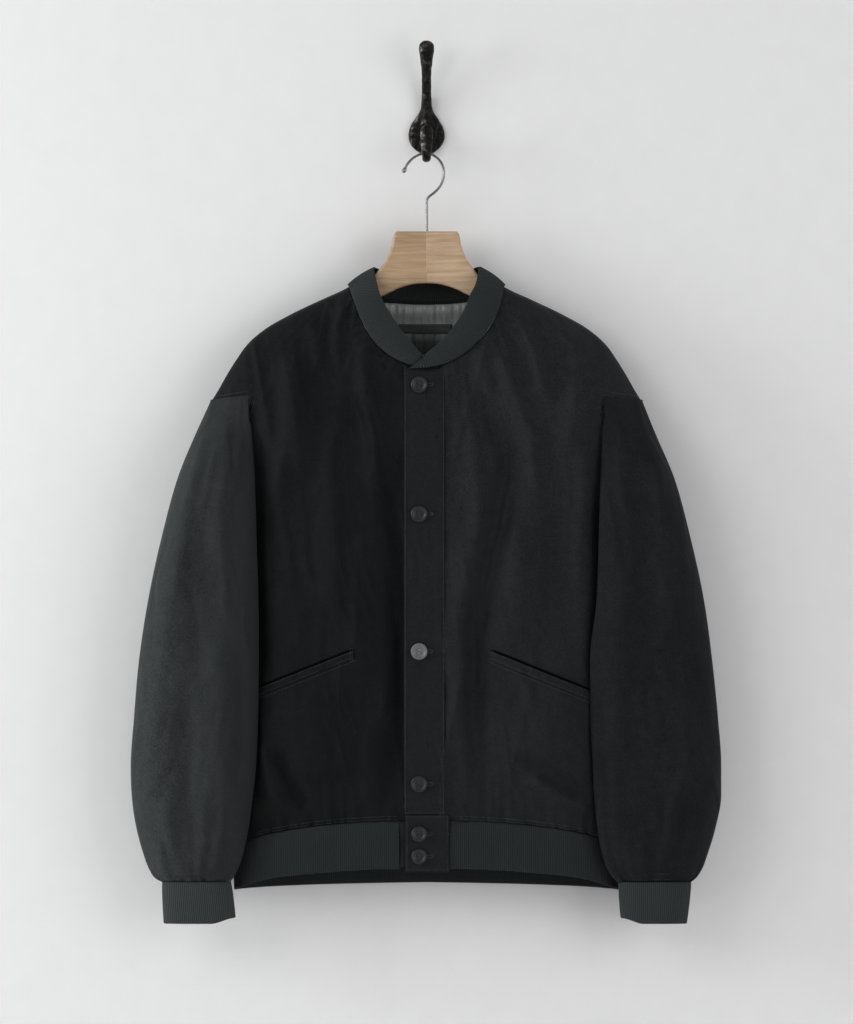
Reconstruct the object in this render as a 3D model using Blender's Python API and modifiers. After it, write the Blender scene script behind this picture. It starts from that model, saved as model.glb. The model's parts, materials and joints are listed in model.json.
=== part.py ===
"""A button-front bomber jacket with rib-knit collar, cuffs and hem, on a wooden hanger that
hangs from a cast-iron wall hook.

The tables hold millimetres, and MM turns them into metres as each mesh is made. X runs to the
right as one faces the jacket, Y runs into the wall and Z is up. The origin is the middle of
the wall hook's flat back. `down` is the distance below the origin. Left and right in a name
are the wearer's, so the left front lies at +X.
"""

import math

import bmesh
import bpy
import numpy as np
from mathutils import Matrix

MM = 0.001
GAP = 0.3  # between two pieces that touch
X, Y, Z = range(3)
WEARER = {"right": -1, "left": 1}

# Cloth
SHELL = 1.3  # two layers of poplin
KNIT = 2.4  # rib knit folded double
BAND = 1.6  # the placket and its tabs
LINING = 1.0
LINING_INSIDE = 3.4  # of the back's outer face
LOOP_X = (-31.0, 28.0)
LOOP_DOWN = (209.6, 219.7)
WELT = 1.0

# The hanging plane of the hanger, and how the cloth rounds away from its outline
HANG_Y = -42.0
FRONT_ROLL = 120.0  # below the shoulder line, where the front reaches its full depth
BACK_ROLL = 90.0
SIDE_ROLL_FRONT = 90.0  # inside the side fold
SIDE_ROLL_BACK = 60.0

# Button front
PLACKET_X = (-24.8, 20.4)
PLACKET_PROUD = 2.4  # of the panels that it lies on
UNDERLAP_X = 15.0  # how far the right front runs behind the placket
TAB_X = (-23.3, 25.3)
UNDER_TAB_X = (-29.5, 14.0)
TAB_TOP = 749.0
TAB_BOTTOM = 812.0
BUTTON_X = -8.0
BUTTON_DOWN = (277.2, 419.0, 569.8, 715.0, 769.8, 794.8)
BUTTON_D = 18.4
TAB_BUTTON_D = 17.2
BUTTON_THICK = 3.0

HEM_RIB_X = (-30.1, 26.0)  # the two ends of the hem rib, beside the tabs
HEM_BAND = 46.0  # the stretch above the hem where the cloth gathers


def table(columns, *rows):
    """The rows as one array for each named column."""
    return {name: np.array(values, float) for name, values in zip(columns.split(), zip(*rows))}


# The line over the hanger's arms: neck, hanger tip at 198, then the dropped shoulder
SHOULDER = table(
    "x down",
    (0, 118), (60, 151.5), (86, 169.2), (117, 183.7), (151, 200), (180, 217), (198, 233),
    (210, 250), (220, 266), (229, 282), (238, 297), (262, 350), (330, 520),
)  # fmt: skip
TIP_X = 198.0
ARM_SEAM_X = 237.0  # where the armhole seam meets the shoulder fold

# The torso's half width at its side folds, and its depth before and behind the hanger
BODY = table(
    "down half_width front back",
    (118, 330, 48, 27), (233, 310, 49, 28), (291, 285, 51, 29), (350, 250, 53, 30),
    (400, 226, 54, 30), (425, 218, 54, 30), (500, 219, 55, 31), (600, 222, 55, 31),
    (700, 225, 56, 31), (740, 224, 55, 30), (765, 218, 50, 28), (783, 212, 46, 27),
    (840, 212, 43, 25),
)  # fmt: skip
UNDERARM = 425.0
# The edge of the torso panels from the hanger tip round the armhole to the underarm
ARMHOLE = table(
    "down x",
    (118, 198), (233, 198), (262, 195), (291.5, 194.5), (300, 196.5), (320, 202), (355, 209.5),
    (400, 215.5), (425, 218),
)  # fmt: skip
NECK = table(
    "x front back",
    (-86, 169.2, 169.2), (-79, 188, 173.5), (-70, 210, 177), (-56, 232, 181.5),
    (-40, 246.4, 184.5), (-25, 254, 186), (-16.5, 257, 186.7), (1, 259.5, 187),
    (18.7, 255.5, 186.5), (34.7, 248, 185), (52.3, 234.3, 181.5), (67.7, 216.7, 177),
    (78, 198, 173.5), (83, 180, 171), (86, 169.2, 169.2),
)  # fmt: skip
NECK_X = 86.0

# The hem seam and the rib's lower edge, by distance from the middle
HEM = table(
    "x front back front_edge back_edge",
    (0, 755.5, 773, 807.5, 825), (60, 757, 774, 808.5, 826), (120, 762, 776, 812.5, 827.5),
    (170, 770, 778.5, 818.5, 829.5), (212, 781.5, 781.5, 830.5, 832),
)  # fmt: skip
# The fronts sink a little where the sleeves lap over them
LAPPED = {"from_x": 174.0, "over_x": 20.0, "from_down": 292.0, "over_down": 14.0, "depth": 6.0,
          "to_down": 700.0}

# Each sleeve's outer fold and inner fold as seen from the front
SLEEVE_FOLDS = {
    "right": table(
        "down outer inner",
        (291, 237, 194), (332, 254.6, 192), (382, 273.4, 189.5), (448, 291, 187.5),
        (514, 305, 185.5), (580, 315, 185.2), (646, 320.7, 186), (695, 324, 188),
        (728, 323, 191.5), (761, 318.5, 196), (794, 309.7, 203), (810.7, 303, 209),
        (819, 297, 213.5), (823, 289, 217),
    ),
    "left": table(
        "down outer inner",
        (291, 237, 195.5), (332, 252.5, 194), (382, 272.3, 192), (448, 289.9, 190),
        (514, 304, 187.6), (580, 313, 180.5), (646, 319.6, 181), (695, 322.9, 183.5),
        (728, 322.9, 185), (761, 317.4, 188.5), (794, 307.5, 194.5), (810.7, 300.9, 200.8),
        (819, 295, 207), (823, 289.5, 211),
    ),
}  # fmt: skip
# Where the sleeve lies in depth: its two faces, the line through its folds, and how fully it
# laps over the side of the torso (1) or is a plain flattened tube (0)
SLEEVE_DEPTH = table(
    "down front back outer_y inner_y lap",
    (291, -91, -14, -42, -89, 1), (332, -96, -13, -48, -91, 1), (382, -99, -13, -52, -92, 1),
    (448, -102, -13, -54, -93, 1), (580, -104, -12, -56, -94, 1), (728, -104, -13, -58, -93, 1),
    (775, -100, -19, -60, -91, 1), (803, -95, -31, -63, -86, 0.75), (823, -88, -46, -67, -74, 0),
)  # fmt: skip
SLEEVE_END = 823.0
CUFF = {
    "right": table("down outer inner front back", (823.3, 288.5, 217, -88, -46),
                   (845, 288, 214.5, -88, -46), (868, 286.5, 212, -87, -47)),
    "left": table("down outer inner front back", (823.3, 289, 213, -88, -46),
                  (845, 287.5, 214, -88, -46), (868, 284, 215.5, -87, -47)),
}  # fmt: skip
CUFF_SIDES = ("outer", "inner", "front", "back")
CUFF_SLANT = 6.0  # how much higher the cuff's edge is at its inner fold

# Broad folds: a soft ridge (+) or trough (-) along a line
FRONT_FOLDS = table(
    "x0 down0 x1 down1 width height",
    (-36, 480, -28, 640, 13, -6), (-28, 640, -40, 745, 13, -6), (-102, 190, -113, 320, 13, 4.8),
    (-82, 205, -80, 300, 9, 3.6), (-139, 232, -152, 380, 15, 4.8), (-167, 250, -181, 350, 12, 4.5),
    (-139, 668, -117, 748, 9, -5.1), (-118, 640, -122, 690, 38, 5.4), (-70, 330, -78, 620, 22, 3.9),
    (-176, 420, -160, 560, 16, -4.5), (-185, 690, -176, 750, 8, 3.9), (48, 300, 50, 560, 15, -5.1),
    (50, 560, 60, 712, 14, -5.1), (60, 712, 98, 752, 9, -4.8), (92, 184, 128, 300, 13, 5.1),
    (66, 235, 92, 340, 9, 3.9), (112, 182, 165, 262, 12, 4.5), (140, 640, 130, 695, 40, 6),
    (100, 340, 96, 600, 24, 4.2), (172, 430, 150, 590, 16, -4.5), (160, 700, 176, 752, 9, 4.5),
)  # fmt: skip
BACK_FOLDS = table(
    "x0 down0 x1 down1 width height",
    (-60, 205, -48, 420, 18, 4.4), (58, 205, 66, 460, 18, 4.4), (-130, 225, -168, 470, 18, 5.2),
    (134, 225, 160, 500, 18, 5.2), (0, 260, -10, 560, 26, -4.2), (-96, 420, -84, 700, 20, -4.4),
    (92, 470, 104, 730, 20, -4.4), (-150, 560, -128, 740, 14, 4.7), (20, 600, 34, 752, 14, 4.2),
    (150, 600, 172, 745, 14, 4.7), (-40, 640, -52, 752, 12, 3.9),
)  # fmt: skip
SLEEVE_FOLDS_FRONT = {
    "right": table(
        "x0 down0 x1 down1 width height",
        (218, 308, 226, 480, 13, 5.4), (262, 372, 288, 545, 12, 5.4), (244, 400, 252, 620, 15, -4.9),
        (262, 630, 262, 790, 13, -5.9), (232, 560, 226, 740, 15, 4.9), (298, 600, 300, 730, 12, 4.1),
        (285, 735, 276, 815, 7, 4.3), (240, 760, 246, 815, 7, 4.1), (300, 760, 288, 812, 6, -3.5),
    ),
    "left": table(
        "x0 down0 x1 down1 width height",
        (214, 306, 216, 420, 11, 4.6), (250, 345, 278, 520, 12, 5.1), (236, 420, 246, 640, 15, -4.9),
        (226, 520, 214, 700, 16, 5.1), (299, 736, 266, 800, 8, 5.4), (318, 724, 294, 800, 8, 4.9),
        (262, 805, 262, 818, 6, -4.1), (240, 785, 238, 816, 7, 4.1), (270, 560, 268, 720, 16, -4.6),
    ),
}  # fmt: skip
SLEEVE_FOLDS_BACK = table(
    "x0 down0 x1 down1 width height",
    (262, 350, 290, 560, 14, 4.7), (240, 420, 250, 700, 16, -4.4), (300, 590, 296, 760, 12, 4.7),
    (262, 700, 268, 812, 9, 4.4), (286, 740, 280, 815, 7, -3.9),
)  # fmt: skip

# Gathers where cloth is drawn on to the rib
HEM_GATHER = {"pitch": 23.0, "height": 1.7, "reach": 24.0}
CUFF_GATHER = {"count": 13, "height": 1.8, "reach": 26.0}

# Rows of the panels, as the share of each column's length
SHARE_TO_SEAM = (291.5 - 233.0) / (781.5 - 233.0)
SHARE_TO_UNDERARM = (UNDERARM - 233.0) / (781.5 - 233.0)
WEDGE_SHARES = (0.0, 0.05, 0.2, 0.5, 1.0)
ARMHOLE_STEPS = (0.0, 0.07, 0.22, 0.47, 0.75, 1.0)
ARMHOLE_ROWS = len(ARMHOLE_STEPS) - 1
BODY_ROWS = 6
GATHER_ROWS = 3
FRONT_SEAM_COLUMNS = 11  # across the armhole seam, front and back
BACK_SEAM_COLUMNS = 8
SLEEVE_ROWS = 10
# How far below the armhole the sleeve leaves its depth, round the ring
SET_AT = (0, FRONT_SEAM_COLUMNS, FRONT_SEAM_COLUMNS + 1, FRONT_SEAM_COLUMNS + 4, FRONT_SEAM_COLUMNS + 7)
SET_OVER = (95, 60, 12, 12, 95)


def follow(rows, key, name, at):
    """A smooth curve through one column of a table, read where `key` is `at`."""
    keys, values = rows[key], rows[name]
    at = np.clip(at, keys[0], keys[-1])
    k = np.clip(np.searchsorted(keys, at) - 1, 0, len(keys) - 2)
    slope = np.diff(values) / np.diff(keys)
    lean = np.concatenate([slope[:1], (slope[:-1] + slope[1:]) / 2, slope[-1:]])
    lean[1:-1][slope[:-1] * slope[1:] <= 0] = 0
    step = keys[k + 1] - keys[k]
    s = (at - keys[k]) / step
    start = values[k] * (1 + 2 * s) * (1 - s) ** 2 + lean[k] * step * s * (1 - s) ** 2
    return start + values[k + 1] * s * s * (3 - 2 * s) + lean[k + 1] * step * s * s * (s - 1)


def smooth(s):
    s = np.clip(s, 0, 1)
    return s * s * (3 - 2 * s)


def crown(s, power=1.8):
    """0 at the outline, rising steeply and then levelling to 1."""
    return (1 - (1 - np.clip(s, 0, 1)) ** power) ** (1 / power)


def relief(folds, x, down):
    """The height of a table of folds at a place on the cloth."""
    total = np.zeros(np.broadcast(x, down).shape)
    for x0, down0, x1, down1, width, height in zip(*folds.values()):
        run_x, run_down = x1 - x0, down1 - down0
        share = ((x - x0) * run_x + (down - down0) * run_down) / (run_x**2 + run_down**2)
        share = np.clip(share, 0, 1)
        off = np.hypot(x - x0 - run_x * share, down - down0 - run_down * share)
        total = total + height * np.exp(-((off / width) ** 2))
    return total


def front_y(x, down, folds=True):
    """The front of the torso."""
    below = down - follow(SHOULDER, "x", "down", np.abs(x))
    inside = follow(BODY, "down", "half_width", down) - np.abs(x)
    full = crown(below / FRONT_ROLL) * crown(inside / SIDE_ROLL_FRONT, 2)
    raised = relief(FRONT_FOLDS, x, down) * smooth(below / 20) * smooth(inside / 20) if folds else 0
    lapped = smooth((np.abs(x) - LAPPED["from_x"]) / LAPPED["over_x"])
    lapped = lapped * smooth((down - LAPPED["from_down"]) / LAPPED["over_down"]) * smooth(inside / 14)
    lapped = lapped * (1 - smooth((down - LAPPED["to_down"]) / 60)) * smooth(below / 30)
    return HANG_Y - follow(BODY, "down", "front", down) * full - raised + LAPPED["depth"] * lapped


def back_y(x, down, folds=True):
    """The back of the torso."""
    below = down - follow(SHOULDER, "x", "down", np.abs(x))
    inside = follow(BODY, "down", "half_width", down) - np.abs(x)
    full = crown(below / BACK_ROLL) * crown(inside / SIDE_ROLL_BACK, 2)
    dips = np.minimum(relief(BACK_FOLDS, x, down), 2.4) if folds else 0
    dips = dips * smooth(below / 20) * smooth(inside / 20)
    return HANG_Y + follow(BODY, "down", "back", down) * full + dips


def points(x, y, down):
    return np.stack(np.broadcast_arrays(x, y, -np.asarray(down, float)), axis=-1)


class Skin:
    """An open surface gathered from grids that share their edges."""

    def __init__(self):
        self.places, self.points, self.faces = {}, [], []

    def at(self, point):
        key = tuple(np.round(point, 2) + 0.0)
        if key not in self.places:
            self.places[key] = len(self.points)
            self.points.append(np.array(point, float))
        return self.places[key]

    def face(self, ring, turned):
        corners = list(dict.fromkeys(self.at(p) for p in ring))
        if len(corners) > 2:
            self.faces.append(corners[::-1] if turned else corners)

    def grid(self, rows, turned=False):
        """Faces between neighbouring rows. A row may have twice the columns of the one above."""
        for upper, lower in zip(rows, rows[1:]):
            for i in range(len(upper) - 1):
                if len(lower) == len(upper):
                    ring = (upper[i], upper[i + 1], lower[i + 1], lower[i])
                else:
                    ring = (upper[i], upper[i + 1], lower[2 * i + 2], lower[2 * i + 1], lower[2 * i])
                self.face(ring, turned)

    def normals(self):
        spots = np.array(self.points)
        total = np.zeros_like(spots)
        for ring in self.faces:
            p = spots[ring]
            total[ring] += np.cross(p, np.roll(p, -1, axis=0)).sum(axis=0)
        return total / np.maximum(np.linalg.norm(total, axis=1, keepdims=True), 1e-9)

    def triangles(self):
        """Its faces split the same way for both sides of a wall, so that they stay parallel: a
        four-sided face along its shorter diagonal, and a longer one from its fourth corner."""
        spots, made = np.array(self.points), []
        for ring in self.faces:
            first = 0
            if len(ring) == 4:
                one, other = (np.linalg.norm(spots[ring[k]] - spots[ring[k + 2]]) for k in (0, 1))
                first = int(other < one)
            elif len(ring) > 4:
                first = 3
            ring = ring[first:] + ring[:first]
            made += [[ring[0], a, b] for a, b in zip(ring[1:], ring[2:])]
        return made

    def rim(self):
        """The border's edges, in the direction in which their faces run."""
        edges = {(a, b) for ring in self.faces for a, b in zip(ring, ring[1:] + ring[:1])}
        return [(a, b) for a, b in edges if (b, a) not in edges]


def wall(name, skin, thick, finish, seams=()):
    """A cloth piece: the skin is its outer face, and the wall lies inside it. At a seam, given
    as points and an axis, the wall ends square to that axis."""
    outer, normal = np.array(skin.points), skin.normals()
    for seam, axis in seams:
        for point in seam:
            k = skin.at(point)
            normal[k, axis] = 0
            normal[k] /= max(np.linalg.norm(normal[k]), 1e-6)
    count = len(outer)
    inner = outer - thick * normal
    faces = skin.triangles()
    faces += [[k + count for k in ring[::-1]] for ring in faces]
    faces += [[b, a, a + count, b + count] for a, b in sorted(skin.rim())]
    return solid(name, np.concatenate([outer, inner]), faces, finish)


def solid(name, spots, faces, finish):
    mesh = bpy.data.meshes.new(name)
    mesh.from_pydata((np.asarray(spots) * MM).tolist(), [], faces)
    mesh.validate()
    obj = bpy.data.objects.new(name, mesh)
    obj.data.materials.append(finish)
    obj.data.shade_smooth()
    PARTS.objects.link(obj)
    return obj


def finish(name, colour, roughness, metallic=0.0):
    material = bpy.data.materials.new(name)
    material.use_nodes = True
    shader = material.node_tree.nodes["Principled BSDF"]
    shader.inputs["Base Color"].default_value = (*colour, 1)
    shader.inputs["Roughness"].default_value = roughness
    shader.inputs["Metallic"].default_value = metallic
    material.diffuse_color = (*colour, 1)
    return material


def eased(count, first=0.0, last=1.0):
    """Steps from first to last that shorten towards the last."""
    return first + (last - first) * np.sin(np.linspace(0, math.pi / 2, count + 1))


def halved(values):
    """The same steps with one more in the middle of each."""
    doubled = np.empty(2 * len(values) - 1)
    doubled[::2], doubled[1::2] = values, (values[:-1] + values[1:]) / 2
    return doubled


def edge_x(down):
    """The outer edge of the torso's panels: shoulder tip, armhole, then the side seam."""
    side = follow(BODY, "down", "half_width", down)
    return np.where(down < UNDERARM, follow(ARMHOLE, "down", "x", down), side)


def gather(along, above, pitch, height, reach):
    """Uneven gathers that die away from the seam that holds them."""
    drift = along + 5 * np.sin(along / 31) + 3 * np.sin(along / 13)
    return height * np.sin(2 * math.pi * drift / pitch) * np.exp(-((above / reach) ** 2))


def panel_points(start, side, across, shares, face):
    """Rows of a torso panel that runs from x = start, at across = 0, to the side."""
    x_top = start + (side * TIP_X - start) * across
    neck = follow(NECK, "x", face, x_top)
    top = np.where(np.abs(x_top) < NECK_X, neck, follow(SHOULDER, "x", "down", np.abs(x_top)))
    rows = []
    for share in shares:
        hem = follow(HEM, "x", face, np.abs(start + (side * HEM["x"][-1] - start) * across))
        down = top + (hem - GAP - top) * share
        x = start + (side * edge_x(down) - start) * across
        if face == "front":
            y, sign = front_y(x, down), -1
        else:
            y, sign = back_y(x, down), 1
        free = smooth((np.abs(x) - 34) / 50) if face == "front" else 1
        waves = gather(x, hem - down, **HEM_GATHER)
        y = y + sign * (waves - HEM_GATHER["height"]) * free * smooth((1 - across) * 6) * (share > 0.6)
        rows.append(points(x, y + sign * GAP / 2, down))
    return rows


def wedge_points(valley, side, face):
    """Rows of the dropped shoulder, from the valley below the hanger tip out to the shoulder."""
    columns = FRONT_SEAM_COLUMNS if face == "front" else BACK_SEAM_COLUMNS
    outward = 0.5 - 0.5 * np.cos(np.linspace(0, math.pi, columns + 1))
    rows = []
    for share, (x0, _, z0) in zip(WEDGE_SHARES, valley):
        x_end = TIP_X + (ARM_SEAM_X - TIP_X) * share
        down_end = follow(SHOULDER, "x", "down", x_end)
        x = side * (abs(x0) + (x_end - abs(x0)) * outward)
        down = -z0 + (down_end + z0) * outward
        y = front_y(x, down) - GAP / 2 if face == "front" else back_y(x, down) + GAP / 2
        row = points(x, y, down)
        row[0] = valley[len(rows)]
        rows.append(row)
    return rows


def shares():
    armhole = SHARE_TO_SEAM + (SHARE_TO_UNDERARM - SHARE_TO_SEAM) * np.array(ARMHOLE_STEPS)
    band = 1 - HEM_BAND / (781.5 - 233.0)
    coarse = np.concatenate([
        SHARE_TO_SEAM * np.array(WEDGE_SHARES), armhole[1:],
        np.linspace(SHARE_TO_UNDERARM, band, BODY_ROWS + 1)[1:],
    ])  # fmt: skip
    return coarse, np.linspace(band, 1, GATHER_ROWS + 1)[1:]


def across_steps(start, side):
    """Columns of a panel, closer together towards the neck point and towards the side."""
    neck = (side * NECK_X - start) / (side * TIP_X - start)
    return np.concatenate([eased(7, 0, neck), eased(9, neck, 1)[1:]])


def torso_panel(name, start, sides, face, cloth):
    """A front, or the whole back, with its dropped shoulders. It also returns the armhole
    edges that the sleeves are set to: {side: (seam row, armhole column)}."""
    skin, seams, holes = Skin(), [], {}
    coarse, fine = shares()
    for side in sides:
        across = across_steps(start, side)
        rows = panel_points(start, side, across, coarse, face)
        rows += panel_points(start, side, halved(across), fine, face)
        turned = (side > 0) == (face == "front")
        skin.grid(rows, turned)
        edge = np.array([row[-1] for row in rows])
        valley = edge[: len(WEDGE_SHARES)]
        wedge = wedge_points(valley, side, face)
        skin.grid(wedge, turned)
        top_from = 7 if face == "back" or start * side < NECK_X else 0
        seams += [
            (rows[0][top_from:], Y), ([row[-1] for row in wedge], Y), (wedge[-1], Z),
            (rows[-1], Z), (edge[len(WEDGE_SHARES) - 1 + ARMHOLE_ROWS :], Y),
            (edge[len(WEDGE_SHARES) - 1 : len(WEDGE_SHARES) - 1 + ARMHOLE_ROWS], X),
        ]  # fmt: skip
        holes[side] = (wedge[-1], edge[len(WEDGE_SHARES) - 1 : len(WEDGE_SHARES) + ARMHOLE_ROWS])
    wall(name, skin, SHELL, cloth, seams)
    return holes


def sleeve_section(hand, share, down, face):
    """A place on the sleeve's tube: share 0 is its outer fold and 1 its inner fold."""
    folds = SLEEVE_FOLDS[hand]
    outer, inner = follow(folds, "down", "outer", down), follow(folds, "down", "inner", down)
    read = {name: follow(SLEEVE_DEPTH, "down", name, down) for name in SLEEVE_DEPTH}
    x = outer + (inner - outer) * share
    middle = read["outer_y"] + (read["inner_y"] - read["outer_y"]) * smooth(share)
    round_off = crown(share / 0.42, 2) * crown((1 - share) / (0.5 - 0.28 * read["lap"]), 2)
    if face == "front":
        target = read["front"] - relief(SLEEVE_FOLDS_FRONT[hand], x, down)
    else:
        lapped = (read["inner_y"] + 5 - read["back"]) * smooth((share - 0.42) / 0.42)
        dips = np.minimum(relief(SLEEVE_FOLDS_BACK, x, down), 2.5)
        target = read["back"] + lapped * read["lap"] + dips * smooth((0.6 - share) / 0.3)
    return x, middle + (target - middle) * round_off


def sleeve_columns():
    """Each column's share of the way across and its face, from the outer fold round by the
    front to the inner fold, the underarm and back."""
    front = 0.5 - 0.5 * np.cos(np.linspace(0, math.pi, FRONT_SEAM_COLUMNS + 1))
    step = np.linspace(0, 1, ARMHOLE_ROWS + 1)[1:]
    lap = 1 - 0.3 * step**1.3
    under = 0.7 - 0.25 * step
    back = 0.45 * (1 - np.sin(np.linspace(0, math.pi / 2, BACK_SEAM_COLUMNS + 1)[1:]))
    share = np.concatenate([front, lap, under, back])
    return share, np.arange(len(share)) <= FRONT_SEAM_COLUMNS


def sleeve_ring(front_hole, back_hole, side):
    """The armhole that the sleeve is sewn into, a gap away from the torso's edges."""
    seam_f, edge_f = front_hole
    seam_b, edge_b = back_hole
    below, before, beside = np.array([[0, 0, -0.65], [side * 1.1, -2.0, -0.55], [side * 1.5, 0, -0.8]])
    return np.concatenate([
        seam_f[:0:-1] + below, edge_f[:-1] + before, [(edge_f[-1] + edge_b[-1]) / 2 + beside],
        edge_b[-2::-1] + beside, seam_b[1:] + below,
    ])  # fmt: skip


def sleeve(hand, front_hole, back_hole, cloth):
    side = WEARER[hand]
    ring = sleeve_ring(front_hole, back_hole, side)
    ring[-1] = ring[0] = (ring[0] + ring[-1]) / 2
    share, is_front = sleeve_columns()
    index = np.arange(len(share))

    def row(step, keys, share, is_front, at):
        start = np.stack([np.interp(at, keys, ring[:, axis]) for axis in (X, Y, Z)], axis=-1)
        down = -start[:, Z] + (SLEEVE_END + start[:, Z]) * step
        x, y = (np.where(is_front, f, b) for f, b in zip(
            sleeve_section(hand, share, down, "front"), sleeve_section(hand, share, down, "back")))
        x0, y0 = (np.where(is_front, f, b) for f, b in zip(
            sleeve_section(hand, share, -start[:, Z], "front"),
            sleeve_section(hand, share, -start[:, Z], "back")))
        fallen = down + start[:, Z]
        x = x + (side * start[:, X] - x0) * (1 - smooth(fallen / 95)) ** 1.2
        y = y + (start[:, Y] - y0) * (1 - smooth(fallen / np.interp(at, SET_AT, SET_OVER))) ** 1.2
        wave = CUFF_GATHER["count"] * 2 * math.pi * at / index[-1]
        shrink = np.exp(-(((SLEEVE_END - down) / CUFF_GATHER["reach"]) ** 2))
        pull = CUFF_GATHER["height"] * (np.sin(wave + 0.8 * np.sin(2 * wave / 5)) - 1) * shrink
        centre_y = -67
        y = y + pull * np.sign(y - centre_y) * np.minimum(1, np.abs(y - centre_y) / 12)
        return points(side * x, y, down)

    steps = np.concatenate([[0, 0.012], np.linspace(0.045, 0.9, SLEEVE_ROWS)])
    rows = [row(step, index, share, is_front, index) for step in steps]
    fine_at = halved(index.astype(float))
    fine_share = halved(share)
    fine_front = fine_at <= FRONT_SEAM_COLUMNS
    rows += [row(step, index, fine_share, fine_front, fine_at) for step in (0.94, 0.975, 0.993, 1)]
    skin = Skin()
    for line in rows:
        line[-1] = line[0]
    skin.grid(rows, turned=side > 0)
    back_from = FRONT_SEAM_COLUMNS + ARMHOLE_ROWS
    seams = [
        (rows[0][:FRONT_SEAM_COLUMNS], Z), (rows[0][-BACK_SEAM_COLUMNS - 1 :], Z), (rows[-1], Z),
        (rows[0][back_from:-BACK_SEAM_COLUMNS], X),
    ]  # fmt: skip
    wall(f"sleeve_{hand}", skin, SHELL, cloth, seams)


def cuff(hand, knit):
    side, size = WEARER[hand], CUFF[hand]
    turn = np.linspace(0, 2 * math.pi, 29)
    rows = []
    for down in (823.3, 845, 868):
        outer, inner, front, back = (follow(size, "down", name, down) for name in CUFF_SIDES)
        across, deep = np.cos(turn), np.sin(turn)
        x = (outer + inner) / 2 + (outer - inner) / 2 * np.sign(across) * np.abs(across) ** 0.75
        y = (front + back) / 2 + (front - back) / 2 * np.sign(deep) * np.abs(deep) ** 0.75
        slant = CUFF_SLANT * (1 - smooth((x - inner) / (outer - inner) * 3)) * (down - 823.3) / 45
        rows.append(points(side * x, y, down - slant))
    for line in rows:
        line[-1] = line[0]
    skin = Skin()
    skin.grid(rows, turned=side > 0)
    wall(f"cuff_{hand}", skin, KNIT, knit, [(rows[0], Z), (rows[-1], Z)])


def hem_rib(knit):
    """One band of rib knit from tab to tab round the back."""
    side_x = HEM["x"][-1]
    front_from = {side: np.linspace(0, 1, 13) for side in (-1, 1)}
    skin, rows = Skin(), []
    for k in range(3):
        share = k / 2
        line = []
        for side, start in ((-1, HEM_RIB_X[0]), (1, HEM_RIB_X[1])):
            x = start + (side * side_x - start) * np.sin(front_from[side] * math.pi / 2)
            top = follow(HEM, "x", "front", np.abs(x))
            down = top + (follow(HEM, "x", "front_edge", np.abs(x)) - top) * share
            front = points(x, front_y(x, down, folds=False) + 0.8, down)
            front[-1, Y] = HANG_Y
            line.append(front)
        x = side_x * np.sin(np.linspace(-math.pi / 2, math.pi / 2, 27))
        top = follow(HEM, "x", "back", np.abs(x))
        down = top + (follow(HEM, "x", "back_edge", np.abs(x)) - top) * share
        back = points(x, back_y(x, down, folds=False) - 0.8, down)
        back[0], back[-1] = line[0][-1], line[1][-1]
        rows.append(np.concatenate([line[0], back[1:-1], line[1][::-1]]))
    skin.grid(rows, turned=False)
    ends = [([row[0] for row in rows] + [row[-1] for row in rows], X)]
    wall("hem_rib", skin, KNIT, knit, [(rows[0], Z), (rows[-1], Z), *ends])


COLLAR_GAP = 1.0  # along the neck seam
# The collar's sewn edge (seam) and free edge, from the under end round the back to the top end
COLLAR = table(
    "seam_x seam_down edge_x edge_down lift",
    (5, 258.6, 10, 255, 0.2), (-16.5, 256.6, -4, 246, 0.3), (-40, 246.4, -16.5, 232, 0.4),
    (-56, 232, -29, 216.7, 0.6), (-70, 210, -40.5, 199, 0.6), (-79, 188, -49.5, 183, 0.6),
    (-84.2, 173.5, -54.5, 168, 0.6), (-86, 169.2, -58, 150.4, 0.6),
)  # fmt: skip
COLLAR_BACK = table("seam_x edge_x edge_down", (-81, -54, 150), (-66, -46, 151), (-34, -24, 153),
                    (0, 0, 154), (34, 24, 152.5), (66, 46, 150), (81, 54, 149))  # fmt: skip
COLLAR_TOP = table(
    "seam_x seam_down edge_x edge_down lift",
    (86, 169.2, 58, 148.4, 0.6), (84.2, 173.5, 55.5, 163, 0.8), (78, 198, 48, 180, 0.9),
    (67.7, 216.7, 42, 195.5, 0.8), (52.3, 234.3, 29, 215.6, 0.8), (34.7, 248, 15, 232, 1.4),
    (18.7, 255.5, 5, 240, 3.0), (1.1, 259.3, -1.6, 245.4, 3.4), (-19.3, 260.6, -2.8, 246.4, 3.4),
)  # fmt: skip


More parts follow.
